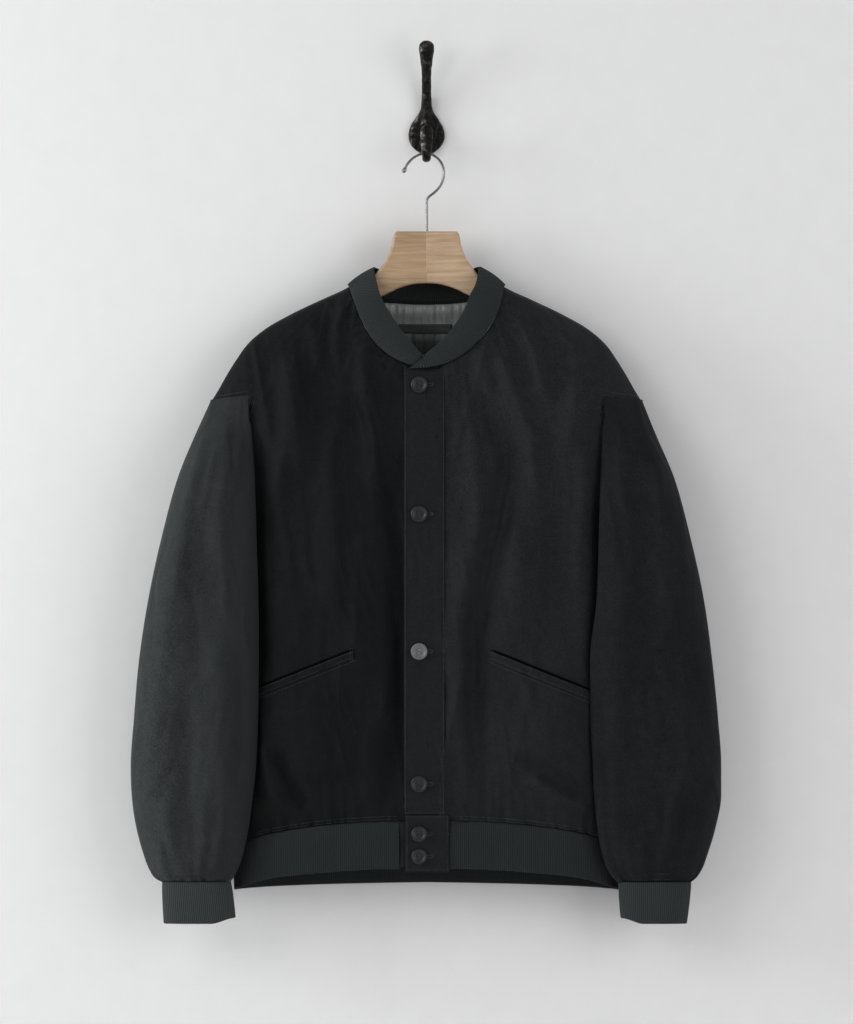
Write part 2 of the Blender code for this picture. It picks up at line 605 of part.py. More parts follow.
def collar(knit):
    """The rib collar stands up from the neck seam, its left end lapped over its right."""
    stations = []
    for part in (COLLAR, COLLAR_TOP):
        for seam_x, seam_down, free_x, free_down, lift in zip(*part.values()):
            seam_y = front_y(seam_x, seam_down, folds=False) - lift
            free_y = front_y(free_x, free_down, folds=False) - lift
            stations.append((seam_x, seam_y, seam_down - COLLAR_GAP, free_x, free_y, free_down))
        if part is COLLAR:
            for seam_x, free_x, free_down in zip(*COLLAR_BACK.values()):
                seam_down = follow(NECK, "x", "back", seam_x)
                seam_y = back_y(seam_x, seam_down, folds=False) + 0.4
                free_y = back_y(free_x, free_down + 14, folds=False) - 1
                stations.append((seam_x, seam_y, seam_down - COLLAR_GAP, free_x, free_y, free_down))
    stations = np.array(stations)
    run = np.concatenate([[0], np.cumsum(np.linalg.norm(np.diff(stations[:, :3], axis=0), axis=1))])
    line = dict(zip(("sx", "sy", "sd", "ex", "ey", "ed"), stations.T), run=run)
    at = np.linspace(0, run[-1], 45)
    seam = points(*(follow(line, "run", name, at) for name in ("sx", "sy", "sd")))
    edge = points(*(follow(line, "run", name, at) for name in ("ex", "ey", "ed")))
    skin = Skin()
    skin.grid([edge, edge + (seam - edge) * 0.5, seam], turned=True)
    wall("collar_rib", skin, KNIT, knit)


def strip(name, x_range, down_top, down_bottom, proud, thick, cloth, rows=3):
    """A flat band on the front: down_top and down_bottom give its ends at any x."""
    x = np.linspace(*x_range, 5)
    lines = []
    for share in np.linspace(0, 1, rows + 1):
        down = down_top(x) + (down_bottom(x) - down_top(x)) * share
        lines.append(points(x, front_y(x, down, folds=False) - proud, down))
    skin = Skin()
    skin.grid(lines, turned=True)
    seams = [(lines[0], Z), (lines[-1], Z)]
    wall(name, skin, thick, cloth, seams)


def level(value):
    return lambda x: np.full_like(x, value)


def below_neck(x):
    return follow(NECK, "x", "front", x) + 2.6


def below_hem_seam(x):
    return follow(HEM, "x", "front", np.abs(x)) + GAP


def button_front(cloth, horn):
    strip("placket", PLACKET_X, below_neck, level(TAB_TOP - GAP), PLACKET_PROUD, BAND, cloth, 19)
    strip("tab_left", TAB_X, level(TAB_TOP), level(TAB_BOTTOM), PLACKET_PROUD, BAND, cloth)
    strip("tab_right", UNDER_TAB_X, below_hem_seam, level(TAB_BOTTOM - 5), 0.0, SHELL, cloth)
    for number, down in enumerate(BUTTON_DOWN, 1):
        on_tab = down > TAB_TOP
        reach = down + np.linspace(-BUTTON_D, BUTTON_D, 5) / 2
        y = front_y(BUTTON_X, reach, folds=False).min() - PLACKET_PROUD - GAP
        button(f"button_{number}", TAB_BUTTON_D if on_tab else BUTTON_D, (BUTTON_X, y, -down), horn)


def button(name, across, place, horn):
    """A four-hole button: a turned dish with a raised rim, its back towards +Y."""
    radius, rim = across / 2, BUTTON_THICK
    profile = [(0, 0), (radius - 1.2, 0), (radius, 1.2), (radius - 0.6, rim), (radius - 2.4, rim - 0.2),
               (radius - 3.6, rim - 1.1), (0, rim - 1.1)]  # fmt: skip
    rows = []
    for r, height in profile:
        turn = np.linspace(0, 2 * math.pi, 17)
        rows.append(np.stack([r * np.cos(turn), np.full(17, -height), r * np.sin(turn)], axis=-1))
        rows[-1][-1] = rows[-1][0]
    skin = Skin()
    skin.grid(rows, turned=False)
    made = solid(name, np.array(skin.points) + place, skin.faces, horn)
    for dx in (-1.9, 1.9):
        for dz in (-1.9, 1.9):
            cut = tool(f"{name}_hole", (place[0] + dx, place[1], place[2] + dz), 0.95, 2 * rim + 4)
            hole = made.modifiers.new("Hole", "BOOLEAN")
            hole.object, hole.operation = cut, "DIFFERENCE"
    return made


def tool(name, centre, radius, length, sides=6):
    """A cutter along Y."""
    mesh = bpy.data.meshes.new(name)
    shape = bmesh.new()
    bmesh.ops.create_cone(
        shape, cap_ends=True, segments=sides, radius1=radius * MM, radius2=radius * MM, depth=length * MM
    )
    bmesh.ops.rotate(shape, verts=shape.verts, matrix=ROUND_X)
    bmesh.ops.translate(shape, verts=shape.verts, vec=[c * MM for c in centre])
    shape.to_mesh(mesh)
    shape.free()
    obj = bpy.data.objects.new(name, mesh)
    obj.hide_render = True
    obj.display_type = "WIRE"
    CUTTERS.objects.link(obj)
    return obj


# Each pocket's welt: its inner end, its outer end behind the sleeve, and its width
WELT_SEAT = {"right": -0.1, "left": 0.65}  # from the panel
POCKETS = {
    "right": {"inner": (-80.0, 568.0), "outer": (-203.0, 617.0), "width": 9.5},
    "left": {"inner": (69.5, 568.5), "outer": (200.0, 621.0), "width": 10.5},
}


def pocket_welt(hand, cloth):
    size = POCKETS[hand]
    (x0, down0), (x1, down1) = size["inner"], size["outer"]
    share = np.linspace(0, 1, 12)
    x, down = x0 + (x1 - x0) * share, down0 + (down1 - down0) * share
    lines = []
    for drop in np.array([0, 0.5, 1]) * size["width"]:
        lines.append(points(x, front_y(x, down + drop) - WELT - WELT_SEAT[hand], down + drop))
    skin = Skin()
    skin.grid(lines, turned=WEARER[hand] > 0)
    wall(f"pocket_welt_{hand}", skin, WELT, cloth)


def back_neck(lining, loop):
    """The lining that shows inside the neck, and the hanging loop sewn across it."""
    x = np.linspace(-92, 92, 15)
    lines = []
    for share in np.linspace(0, 1, 5):
        top = follow(NECK, "x", "back", np.clip(x, -NECK_X, NECK_X)) + 6 + 10 * np.abs(x / 92) ** 3
        down = top + (330 - top) * share
        lines.append(points(x, back_y(x, down) - LINING_INSIDE, down))
    skin = Skin()
    skin.grid(lines, turned=True)
    wall("back_lining", skin, LINING, lining)
    x = np.linspace(*LOOP_X, 7)
    lines = []
    for down in np.linspace(*LOOP_DOWN, 3):
        lines.append(points(x, back_y(x, down) - LINING_INSIDE - LINING - 1.4, down))
    skin = Skin()
    skin.grid(lines, turned=True)
    wall("hanger_loop", skin, 1.2, loop)


# The hanger's right half in outline, from the joint at the top round to the joint at the arch
HANGER_HALF = table(
    "x down",
    (0.15, 107.8), (33, 107.8), (35, 109.5), (38.5, 124), (43.5, 137), (50, 147), (56, 154.5),
    (64, 160.8), (75, 168.6), (86, 175.2), (117, 189), (151, 205), (178, 221.5), (190, 231.5),
    (194, 239), (191, 245), (183, 247), (160, 234), (120, 212), (80, 193), (62, 184.5),
    (46, 178), (30, 170.5), (14, 166), (0.15, 165),
)  # fmt: skip
HANGER_THICK = 13.0
WIRE_D = 3.0
WIRE = table(
    "x down",
    (-26, 43), (-23.5, 38.5), (-21, 33.5), (-14, 26.5), (-6.5, 22.8), (0, 22), (6, 23.2), (12.5, 27.5),
    (17.2, 34), (19.2, 43), (17.8, 52), (13.5, 60), (8, 65.5), (2.6, 69.8), (0.4, 73.5), (0.3, 80),
    (0.3, 104), (0.3, 130),
)  # fmt: skip


def hanger(wood, steel):
    for name, side in (("hanger_half_left", 1), ("hanger_half_right", -1)):
        face_y = HANG_Y - HANGER_THICK / 2
        outline = [(side * x, face_y, -down) for x, down in zip(*HANGER_HALF.values())]
        mesh = bpy.data.meshes.new(name)
        shape = bmesh.new()
        ring = [shape.verts.new([c * MM for c in p]) for p in outline]
        shape.faces.new(ring)
        grown = bmesh.ops.extrude_face_region(shape, geom=shape.faces[:])["geom"]
        moved = [v for v in grown if isinstance(v, bmesh.types.BMVert)]
        bmesh.ops.translate(shape, verts=moved, vec=(0, HANGER_THICK * MM, 0))
        bmesh.ops.recalc_face_normals(shape, faces=shape.faces)
        shape.to_mesh(mesh)
        shape.free()
        obj = bpy.data.objects.new(name, mesh)
        mesh.materials.append(wood)
        PARTS.objects.link(obj)
        soften = obj.modifiers.new("Edges", "BEVEL")
        soften.width, soften.segments = 3.2 * MM, 2
        soften.limit_method, soften.angle_limit = "ANGLE", math.radians(60)
    end = HANGER_HALF["down"][0] - GAP
    keep = WIRE["down"] < end
    route = [(x, HANG_Y, -down) for x, down in zip(WIRE["x"][keep], WIRE["down"][keep])]
    route.append((0.3, HANG_Y, -end))
    swell = [1.7, 1.7] + [1] * (len(route) - 2)
    rod("hanger_wire", route, WIRE_D / 2, steel, swell)


def rod(name, route, radius, metal, swell, steps=2):
    """A round bar along a route, its ends closed. Each radius swells by its own factor."""
    curve = bpy.data.curves.new(name, "CURVE")
    curve.dimensions = "3D"
    curve.bevel_depth, curve.bevel_resolution = radius * MM, 1
    curve.use_fill_caps = True
    line = curve.splines.new("POLY")
    spots = np.array(route, float)
    run = np.concatenate([[0], np.cumsum(np.linalg.norm(np.diff(spots, axis=0), axis=1))])
    way = dict(zip("xyz", spots.T), run=run, swell=np.array(swell, float))
    at = np.interp(np.arange(steps * (len(spots) - 1) + 1) / steps, np.arange(len(spots)), run)
    line.points.add(len(at) - 1)
    for point, s in zip(line.points, at):
        point.co = (*(follow(way, "run", axis, s) * MM for axis in "xyz"), 1)
        point.radius = follow(way, "run", "swell", s)
    obj = bpy.data.objects.new(name, curve)
    curve.materials.append(metal)
    PARTS.objects.link(obj)


# The wall hook: the plate's outline, and stations up the handle and round the lower prong
PLATE = table(
    "down half_width",
    (-40, 5.6), (-31, 6.2), (-25, 8.2), (-18, 13), (-10, 17.8), (0, 20.3), (8, 18.8),
    (14, 15), (19, 9), (22, 4.5),
)  # fmt: skip
PLATE_THICK = 6.0
HANDLE = table(
    "y down half_x half_y",
    (-4, 2, 6.6, 3.6), (-5, -18, 6.8, 4.4), (-7, -34, 5.9, 4.6), (-13, -52, 5.4, 4.6),
    (-22, -70, 5.6, 4.8), (-31, -84, 7.2, 6.2), (-35, -94, 8.6, 7.4), (-36, -100, 7, 6),
    (-36, -103, 2.6, 2.2),
)  # fmt: skip
PRONG = table(
    "y down half_x half_along",
    (-3, 4, 7.2, 3.6), (-10, 13, 6.6, 3.6), (-20, 21.5, 5.4, 3.6), (-31, 27.3, 4.8, 3.4),
    (-42, 28.1, 4.6, 3.4), (-51, 21, 5.2, 3.2), (-55, 11, 6.4, 3), (-57, 0, 7, 2.8),
    (-57.5, -6, 5.6, 2.4), (-57.6, -9, 2, 1.2),
)  # fmt: skip


def tapered(name, stations, across, along, sides=10):
    """A bar lofted through elliptical stations in the plane X = 0."""
    spots = np.array(stations, float)
    lead = np.gradient(spots, axis=0)
    lead /= np.linalg.norm(lead, axis=1, keepdims=True)
    turn = np.linspace(0, 2 * math.pi, sides + 1)[:-1]
    rows = []
    for (y, z), (ty, tz), a, b in zip(spots, lead, across, along):
        out = b * np.sin(turn)
        ring = np.stack([a * np.cos(turn), y - out * tz, z + out * ty], axis=-1)
        rows.append(np.concatenate([ring, ring[:1]]))
    skin = Skin()
    skin.grid(rows, turned=False)
    skin.faces += [[skin.at(p) for p in rows[0][:-1]], [skin.at(p) for p in rows[-1][:-1]][::-1]]
    mesh = bpy.data.meshes.new(name)
    mesh.from_pydata((np.array(skin.points) * MM).tolist(), [], skin.faces)
    shape = bmesh.new()
    shape.from_mesh(mesh)
    bmesh.ops.recalc_face_normals(shape, faces=shape.faces)
    shape.to_mesh(mesh)
    shape.free()
    return bpy.data.objects.new(name, mesh)


def wall_hook(iron):
    """One casting: a teardrop plate, a handle that leans out to a knob, and a J-shaped prong."""
    half = [(w, d) for d, w in zip(PLATE["down"], PLATE["half_width"])]
    outline = half + [(-w, d) for w, d in reversed(half)]
    mesh = bpy.data.meshes.new("wall_hook")
    shape = bmesh.new()
    ring = [shape.verts.new((x * MM, 0, -down * MM)) for x, down in outline]
    shape.faces.new(ring)
    grown = bmesh.ops.extrude_face_region(shape, geom=shape.faces[:])["geom"]
    moved = [v for v in grown if isinstance(v, bmesh.types.BMVert)]
    bmesh.ops.translate(shape, verts=moved, vec=(0, -PLATE_THICK * MM, 0))
    for vert in moved:
        vert.co.x *= 0.86
        vert.co.z = vert.co.z * 0.9
    bmesh.ops.recalc_face_normals(shape, faces=shape.faces)
    shape.to_mesh(mesh)
    shape.free()
    plate = bpy.data.objects.new("wall_hook", mesh)
    mesh.materials.append(iron)
    PARTS.objects.link(plate)
    for name, bar in (("handle", HANDLE), ("prong", PRONG)):
        half_y = "half_y" if name == "handle" else "half_along"
        part = tapered(name, list(zip(bar["y"], -bar["down"])), bar["half_x"], bar[half_y])
        part.hide_render = True
        part.display_type = "WIRE"
        CUTTERS.objects.link(part)
        join = plate.modifiers.new(name, "BOOLEAN")
        join.object, join.operation = part, "UNION"
    for number, x in ((1, -13.8), (2, 13.8)):
        cut = tool(f"screw_{number}_hole", (x, -4, 0), 3.4, 20, 12)
        hole = plate.modifiers.new(f"Hole {number}", "BOOLEAN")
        hole.object, hole.operation = cut, "DIFFERENCE"
        screw(f"screw_{number}", x, iron)


def screw(name, x, iron):
    made = tool(name, (x, -2.4, 0), 3.1, 3.6, 12)
    made.hide_render, made.display_type = False, "SOLID"
    made.data.materials.append(iron)
    CUTTERS.objects.unlink(made)
    PARTS.objects.link(made)


def collection(name):
    made = bpy.data.collections.new(name)
    bpy.context.scene.collection.children.link(made)
    return made


def build():
    cloth = finish("Poplin", (0.012, 0.013, 0.0135), 0.62)
    knit = finish("Rib knit", (0.028, 0.034, 0.035), 0.85)
    satin = finish("Lining", (0.30, 0.32, 0.31), 0.4)
    loop = finish("Loop tape", (0.03, 0.035, 0.034), 0.6)
    horn = finish("Horn", (0.03, 0.032, 0.033), 0.35)
    wood = finish("Maple", (0.52, 0.38, 0.24), 0.5)
    steel = finish("Wire", (0.55, 0.55, 0.54), 0.25, 1)
    iron = finish("Iron", (0.03, 0.026, 0.023), 0.45, 0.8)

    right = torso_panel("front_right", UNDERLAP_X, [-1], "front", cloth)
    left = torso_panel("front_left", PLACKET_X[1] + GAP, [1], "front", cloth)
    back = torso_panel("back", 0.0, [-1, 1], "back", cloth)
    sleeve("right", right[-1], back[-1], cloth)
    sleeve("left", left[1], back[1], cloth)
    for hand in WEARER:
        cuff(hand, knit)
        pocket_welt(hand, cloth)
    hem_rib(knit)
    collar(knit)
    button_front(cloth, horn)
    back_neck(satin, loop)
    hanger(wood, steel)
    wall_hook(iron)


for old in list(bpy.data.objects):
    bpy.data.objects.remove(old)
ROUND_X = Matrix.Rotation(math.radians(90), 3, "X")
PARTS = collection("Bomber jacket on a wall hook")
CUTTERS = collection("Cutters")
build()
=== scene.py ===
# %% [markdown]
# # A bomber jacket on a wooden hanger
# The object is a dark cotton bomber jacket with a button front and rib-knit collar, cuffs and
# hem. It hangs on a wooden hanger from a cast-iron wall hook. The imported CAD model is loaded
# first and is never changed: it says where everything is. Each piece below is then modelled
# again in finer detail over its solid, in the same frame, and stands for it.
# X runs to the right, Y runs into the wall and Z is up. Left and right in a name are the
# wearer's, so the left front lies at +X.

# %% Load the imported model
import json
import math

import bmesh
import bpy
import numpy as np
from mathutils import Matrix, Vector

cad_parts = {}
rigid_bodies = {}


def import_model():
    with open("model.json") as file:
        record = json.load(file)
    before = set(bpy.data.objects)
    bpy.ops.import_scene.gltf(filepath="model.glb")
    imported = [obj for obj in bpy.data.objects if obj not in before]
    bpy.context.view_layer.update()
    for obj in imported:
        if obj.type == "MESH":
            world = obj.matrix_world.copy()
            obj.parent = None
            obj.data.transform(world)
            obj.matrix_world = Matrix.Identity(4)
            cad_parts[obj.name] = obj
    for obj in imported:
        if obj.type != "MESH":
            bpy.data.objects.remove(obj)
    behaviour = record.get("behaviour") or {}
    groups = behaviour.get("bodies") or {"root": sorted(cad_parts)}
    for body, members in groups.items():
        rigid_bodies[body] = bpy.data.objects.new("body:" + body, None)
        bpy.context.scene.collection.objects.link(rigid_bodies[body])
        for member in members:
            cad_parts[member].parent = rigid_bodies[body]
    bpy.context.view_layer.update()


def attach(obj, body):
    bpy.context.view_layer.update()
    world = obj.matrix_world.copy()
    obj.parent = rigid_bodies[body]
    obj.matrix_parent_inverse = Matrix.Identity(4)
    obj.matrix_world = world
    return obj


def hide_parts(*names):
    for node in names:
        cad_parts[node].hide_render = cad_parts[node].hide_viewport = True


for leftover in list(bpy.data.objects):
    bpy.data.objects.remove(leftover)
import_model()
bpy.context.scene.view_settings.view_transform = "Standard"

# %% [markdown]
# ## Reading shapes from tables
# A garment has no formula, so its outlines are short tables of measured places in millimetres.
# `follow` draws a smooth curve through a column of a table, and `crown` gives the way in which
# cloth rolls away from a fold: steep at the fold and then level. `down` is the distance below
# the wall hook.

# %% Tables and curves
MM = 0.001
X, Y, Z = range(3)


def table(columns, *rows):
    """The rows as one array for each named column."""
    return {name: np.array(values, float) for name, values in zip(columns.split(), zip(*rows))}


def follow(rows, key, name, at):
    """A smooth curve through one column of a table, read where `key` is `at`."""
    keys, values = rows[key], rows[name]
    at = np.clip(at, keys[0], keys[-1])
    k = np.clip(np.searchsorted(keys, at) - 1, 0, len(keys) - 2)
    slope = np.diff(values) / np.diff(keys)
    lean = np.concatenate([slope[:1], (slope[:-1] + slope[1:]) / 2, slope[-1:]])
    lean[1:-1][slope[:-1] * slope[1:] <= 0] = 0
    step = keys[k + 1] - keys[k]
    s = (at - keys[k]) / step
    start = values[k] * (1 + 2 * s) * (1 - s) ** 2 + lean[k] * step * s * (1 - s) ** 2
    return start + values[k + 1] * s * s * (3 - 2 * s) + lean[k + 1] * step * s * s * (s - 1)


def smooth(s):
    """0 to 1 with level ends."""
    s = np.clip(s, 0, 1)
    return s * s * (3 - 2 * s)


def crown(s, power=1.8):
    """0 at a fold, rising steeply and then levelling to 1."""
    return (1 - (1 - np.clip(s, 0, 1)) ** power) ** (1 / power)


def points(x, y, down):
    """Places from their x, y and distance below the wall hook, in millimetres."""
    return np.stack(np.broadcast_arrays(x, y, -np.asarray(down, float)), axis=-1)


def lengths(line):
    """How far along a drawn line each of its points is."""
    return np.concatenate([[0], np.cumsum(np.linalg.norm(np.diff(line, axis=0), axis=1))])


print("a roll a fifth of the way in:", round(float(crown(0.2)), 2))

# %% [markdown]
# ## Folds
# Cloth that hangs from a hanger falls in long soft ridges and troughs, and it puckers where a
# seam draws it in. A simulation would place the folds where it liked, so each main fold is a
# drawn line instead, with a width and a height: `relief` adds them up at any place on the
# cloth. A fold fades at both ends and is steeper on one side than on the other. The puckers
# along a seam are an uneven wave that dies away from it.

# %% Folds and puckers
FADE = 0.22  # the share of a fold's length over which each end fades


def relief(folds, x, down):
    """The height of a list of folds (width, height, lean, places along it) at a place."""
    total = np.zeros(np.broadcast(x, down).shape)
    spot = np.stack(np.broadcast_arrays(x, down), axis=-1)
    for width, height, lean, *line in folds:
        line = np.array(line, float)
        run = lengths(line)
        best = np.full(total.shape, np.inf)
        side, along = np.zeros(total.shape), np.zeros(total.shape)
        for a, b, start in zip(line, line[1:], run):
            way = b - a
            share = np.clip((spot - a) @ way / (way @ way), 0, 1)
            gap = spot - a - share[..., None] * way
            far = np.hypot(gap[..., 0], gap[..., 1])
            nearer = far < best
            best = np.where(nearer, far, best)
            side = np.where(nearer, np.sign(gap[..., 0] * way[1] - gap[..., 1] * way[0]), side)
            along = np.where(nearer, (start + share * np.hypot(*way)) / run[-1], along)
        spread = width * (1 + lean * side)
        ends = smooth(along / FADE) * smooth((1 - along) / FADE)
        total += height * ends * np.exp(-((best / spread) ** 2))
    return total


def wander(u, v, seed, reach):
    """A slow, uneven drift between about -1 and 1 over lengths of `reach`."""
    dice = np.random.default_rng(seed)
    total = 0
    for _ in range(7):
        angle, phase = dice.uniform(0, 2 * math.pi, 2)
        pace = 2 * math.pi / (reach * dice.uniform(0.6, 1.8))
        total = total + np.sin(pace * (u * math.cos(angle) + v * math.sin(angle)) + phase)
    return total / 3.6


def puckers(along, away, pitch, height, reach, seed):
    """Gathers along a seam: `along` it in millimetres, and `away` from it."""
    drift = along + 0.4 * pitch * wander(along, 0 * along, seed, 4 * pitch)
    uneven = 0.6 + 0.4 * wander(along, 0 * along, seed + 1, 5 * pitch)
    fade = np.exp(-((np.abs(away) / (reach * (0.75 + 0.5 * uneven))) ** 1.5))
    return height * uneven * np.sin(2 * math.pi * drift / pitch) * fade


def creases(across, along, pitch, height, seed):
    """Sharp little creases that run `along` the cloth, broken up by a slow mask."""
    bent = across + 0.55 * pitch * wander(across, 0.3 * along, seed, 4 * pitch)
    ridge = (1 - np.abs(np.sin(math.pi * bent / pitch))) ** 1.7
    mask = smooth(0.3 + 1.2 * wander(across, 0.35 * along, seed + 2, 3 * pitch))
    return height * (ridge - 0.3) * mask


# %% [markdown]
# ## The torso's form
# Seen from the front the jacket is flat on its hanger, so its two faces are height fields: how
# far the cloth stands before or behind the hanger at each place. Both roll away towards the
# shoulder line and the side folds. The tables are the ones from which the solids were made, so
# the fine cloth lies on them.

# %% The torso's tables
HANG_Y = -42.0  # the plane of the hanger
FRONT_ROLL, BACK_ROLL = 120.0, 90.0  # how far the roll reaches down from the shoulder line
SIDE_ROLL_FRONT, SIDE_ROLL_BACK = 90.0, 60.0  # and in from the side fold
TIP_X, TIP_DOWN = 198.0, 233.0  # the hanger's tips
NECK_X = 86.0
ARM_SEAM_X = 237.0  # where the armhole seam meets the shoulder fold
ARM_SEAM_DOWN = 291.5  # where the dropped shoulder's seam ends inside
UNDERARM = 425.0
SHOULDER = table(
    "x down",
    (0, 118), (60, 151.5), (86, 169.2), (117, 183.7), (151, 200), (180, 217), (198, 233),
    (210, 250), (220, 266), (229, 282), (238, 297), (262, 350), (330, 520),
)  # fmt: skip
BODY = table(
    "down half_width front back",
    (118, 330, 48, 27), (233, 310, 49, 28), (291, 285, 51, 29), (350, 250, 53, 30),
    (400, 226, 54, 30), (425, 218, 54, 30), (500, 219, 55, 31), (600, 222, 55, 31),
    (700, 225, 56, 31), (740, 224, 55, 30), (765, 218, 50, 28), (783, 212, 46, 27),
    (840, 212, 43, 25),
)  # fmt: skip
ARMHOLE = table(
    "down x",
    (118, 198), (233, 198), (262, 195), (291.5, 194.5), (300, 196.5), (320, 202), (355, 209.5),
    (400, 215.5), (425, 218),
)  # fmt: skip
NECK = table(
    "x front back",
    (-86, 169.2, 169.2), (-79, 188, 173.5), (-70, 210, 177), (-56, 232, 181.5),
    (-40, 246.4, 184.5), (-25, 254, 186), (-16.5, 257, 186.7), (1, 259.5, 187),
    (18.7, 255.5, 186.5), (34.7, 248, 185), (52.3, 234.3, 181.5), (67.7, 216.7, 177),
    (78, 198, 173.5), (83, 180, 171), (86, 169.2, 169.2),
)  # fmt: skip
HEM = table(
    "x front back front_edge back_edge",
    (0, 755.5, 773, 807.5, 825), (60, 757, 774, 808.5, 826), (120, 762, 776, 812.5, 827.5),
    (170, 770, 778.5, 818.5, 829.5), (212, 781.5, 781.5, 830.5, 832),
)  # fmt: skip
PLACKET_X = (-24.8, 20.4)

# %% The torso's folds
# Each fold: width, height (a trough is below 0), lean, and the places (x, down) along it
FRONT_FOLDS = [
    (13, -6, 0.2, (-47, 300), (-34, 470), (-29, 613), (-37, 700), (-45, 754)),
    (14, 4.4, -0.2, (-90, 262), (-104, 353), (-102, 480), (-96, 560)),
    (13, 3.6, 0, (-70, 250), (-58, 330), (-51, 410)),
    (12, 4.8, 0.2, (-157, 222), (-150, 294), (-155, 349), (-174, 420)),
    (15, 4.4, -0.2, (-139, 232), (-138, 300), (-132, 390)),
    (8, -4.4, 0.2, (-167, 672), (-148, 712), (-128, 750)),
    (10, 3.8, 0, (-183, 664), (-170, 710), (-158, 744)),
    (36, 5.2, 0, (-140, 610), (-118, 660), (-104, 720)),
    (22, 3.6, 0, (-70, 420), (-74, 520), (-80, 620)),
    (12, -4, 0, (-184, 316), (-182, 430), (-180, 560), (-186, 640)),
    (7, 2.6, 0.2, (-92, 182), (-95, 212), (-104, 250)),
    (6, 2.6, -0.2, (-128, 198), (-121, 228), (-119, 268)),
    (8, 2.4, 0, (-66, 222), (-70, 262), (-66, 300)),
    (9, 2.2, 0.3, (-60, 640), (-66, 700), (-64, 745)),
    (13, -6.4, 0.25, (46, 262), (63, 300), (88, 351), (78, 433), (52, 550), (50, 650), (60, 715),
     (88, 750)),
    (11, 3.8, -0.2, (34, 275), (55, 337), (58, 413), (37, 530), (39, 640), (57, 728)),
    (9, 4.6, 0.2, (93, 190), (118, 239), (131, 300)),
    (9, 3.8, -0.2, (74, 219), (92, 275), (114, 330), (124, 410)),
    (13, 4.2, 0.2, (128, 190), (165, 236), (164, 300), (147, 371)),
    (36, 5.8, 0, (150, 590), (136, 650), (122, 700)),
    (8, 4.6, 0.3, (108, 704), (146, 731), (184, 746)),
    (7, -3.2, 0, (98, 684), (147, 712), (184, 729)),
    (18, -4.4, 0, (146, 360), (138, 470), (146, 570)),
    (10, 3.4, 0, (174, 327), (170, 430), (166, 520)),
    (24, 3.6, 0, (100, 420), (98, 500), (94, 590)),
    (6, 2.4, 0.3, (112, 178), (128, 200), (134, 232)),
    (7, 2.2, 0, (60, 230), (64, 262), (74, 296)),
    (5, 2, 0, (100, 590), (112, 612), (118, 640)),
]
BACK_FOLDS = [
    (18, 3.4, 0.2, (-60, 205), (-54, 320), (-48, 420)),
    (18, 3.4, -0.2, (58, 205), (60, 330), (66, 460)),
    (18, 4, 0.2, (-130, 225), (-146, 350), (-168, 470)),
    (18, 4, -0.2, (134, 225), (148, 360), (160, 500)),
    (26, -4.4, 0, (0, 260), (-6, 420), (-10, 560)),
    (20, -4.6, 0.2, (-96, 420), (-88, 560), (-84, 700)),
    (20, -4.6, -0.2, (92, 470), (100, 600), (104, 730)),
    (14, 4, 0, (-150, 560), (-140, 650), (-128, 745)),
    (14, 3.6, 0, (20, 600), (26, 680), (34, 752)),
    (14, 4, 0.2, (150, 600), (160, 680), (172, 748)),
    (12, 3.6, 0, (-40, 640), (-46, 700), (-52, 755)),
    (8, 2.6, 0, (-100, 200), (-106, 240), (-116, 290)),
    (8, 2.4, 0, (30, 205), (28, 250), (34, 300)),
    (9, 2.4, 0.2, (80, 690), (76, 730), (80, 765)),
    (7, 2.2, 0, (-104, 715), (-100, 745), (-102, 768)),
]
LAPPED = {"from_x": 174.0, "over_x": 20.0, "from_down": 292.0, "over_down": 14.0, "depth": 6.0,
          "to_down": 700.0}  # the fronts sink a little where the sleeves lap over them
FRONT_FOLD_DEPTH = 1.8  # how much deeper the fronts' folds are than in their table
BACK_FOLD_TOP = 2.4  # the back stays this close to its solid


def from_edges(x, down):
    """How far a place is below the shoulder line, and how far inside the side fold."""
    below = down - follow(SHOULDER, "x", "down", np.abs(x))
    return below, follow(BODY, "down", "half_width", down) - np.abs(x)


def front_y(x, down, folds=False):
    """The front of the torso."""
    below, inside = from_edges(x, down)
    full = crown(below / FRONT_ROLL) * crown(inside / SIDE_ROLL_FRONT, 2)
    lapped = smooth((np.abs(x) - LAPPED["from_x"]) / LAPPED["over_x"])
    lapped = lapped * smooth((down - LAPPED["from_down"]) / LAPPED["over_down"]) * smooth(inside / 14)
    lapped = lapped * (1 - smooth((down - LAPPED["to_down"]) / 60)) * smooth(below / 30)
    y = HANG_Y - follow(BODY, "down", "front", down) * full + LAPPED["depth"] * lapped
    if folds:
        depth = FRONT_FOLD_DEPTH * relief(FRONT_FOLDS, x, down)
        y = y - depth * smooth(below / 20) * smooth(inside / 20)
    return y


def back_y(x, down, folds=False):
    """The back of the torso."""
    below, inside = from_edges(x, down)
    full = crown(below / BACK_ROLL) * crown(inside / SIDE_ROLL_BACK, 2)
    y = HANG_Y + follow(BODY, "down", "back", down) * full
    if folds:
        dips = np.minimum(relief(BACK_FOLDS, x, down), BACK_FOLD_TOP)
        y = y + dips * smooth(below / 20) * smooth(inside / 20)
    return y


print("depth at the chest in mm:", round(float(back_y(0.0, 420.0) - front_y(0.0, 420.0)), 1))

# %% [markdown]
# ## One way to make every cloth piece
# A cloth piece is a thin shell: an outer face drawn as grids of points, joined where their
# edges meet, then given a thickness. The panels and sleeves have a second material on the
# inside, for the reverse face, painted near black as painted shade inside the jacket. The grids
# carry their own cloth coordinates in millimetres, so a weave or a rib keeps its true scale and
# follows the piece.

# %% Shells from grids
WELD = 0.02  # points of two grids closer than this become one


def put(name, data):
    """An object of this data, linked to the scene."""
    obj = bpy.data.objects.new(name, data)
    bpy.context.scene.collection.objects.link(obj)
    return obj


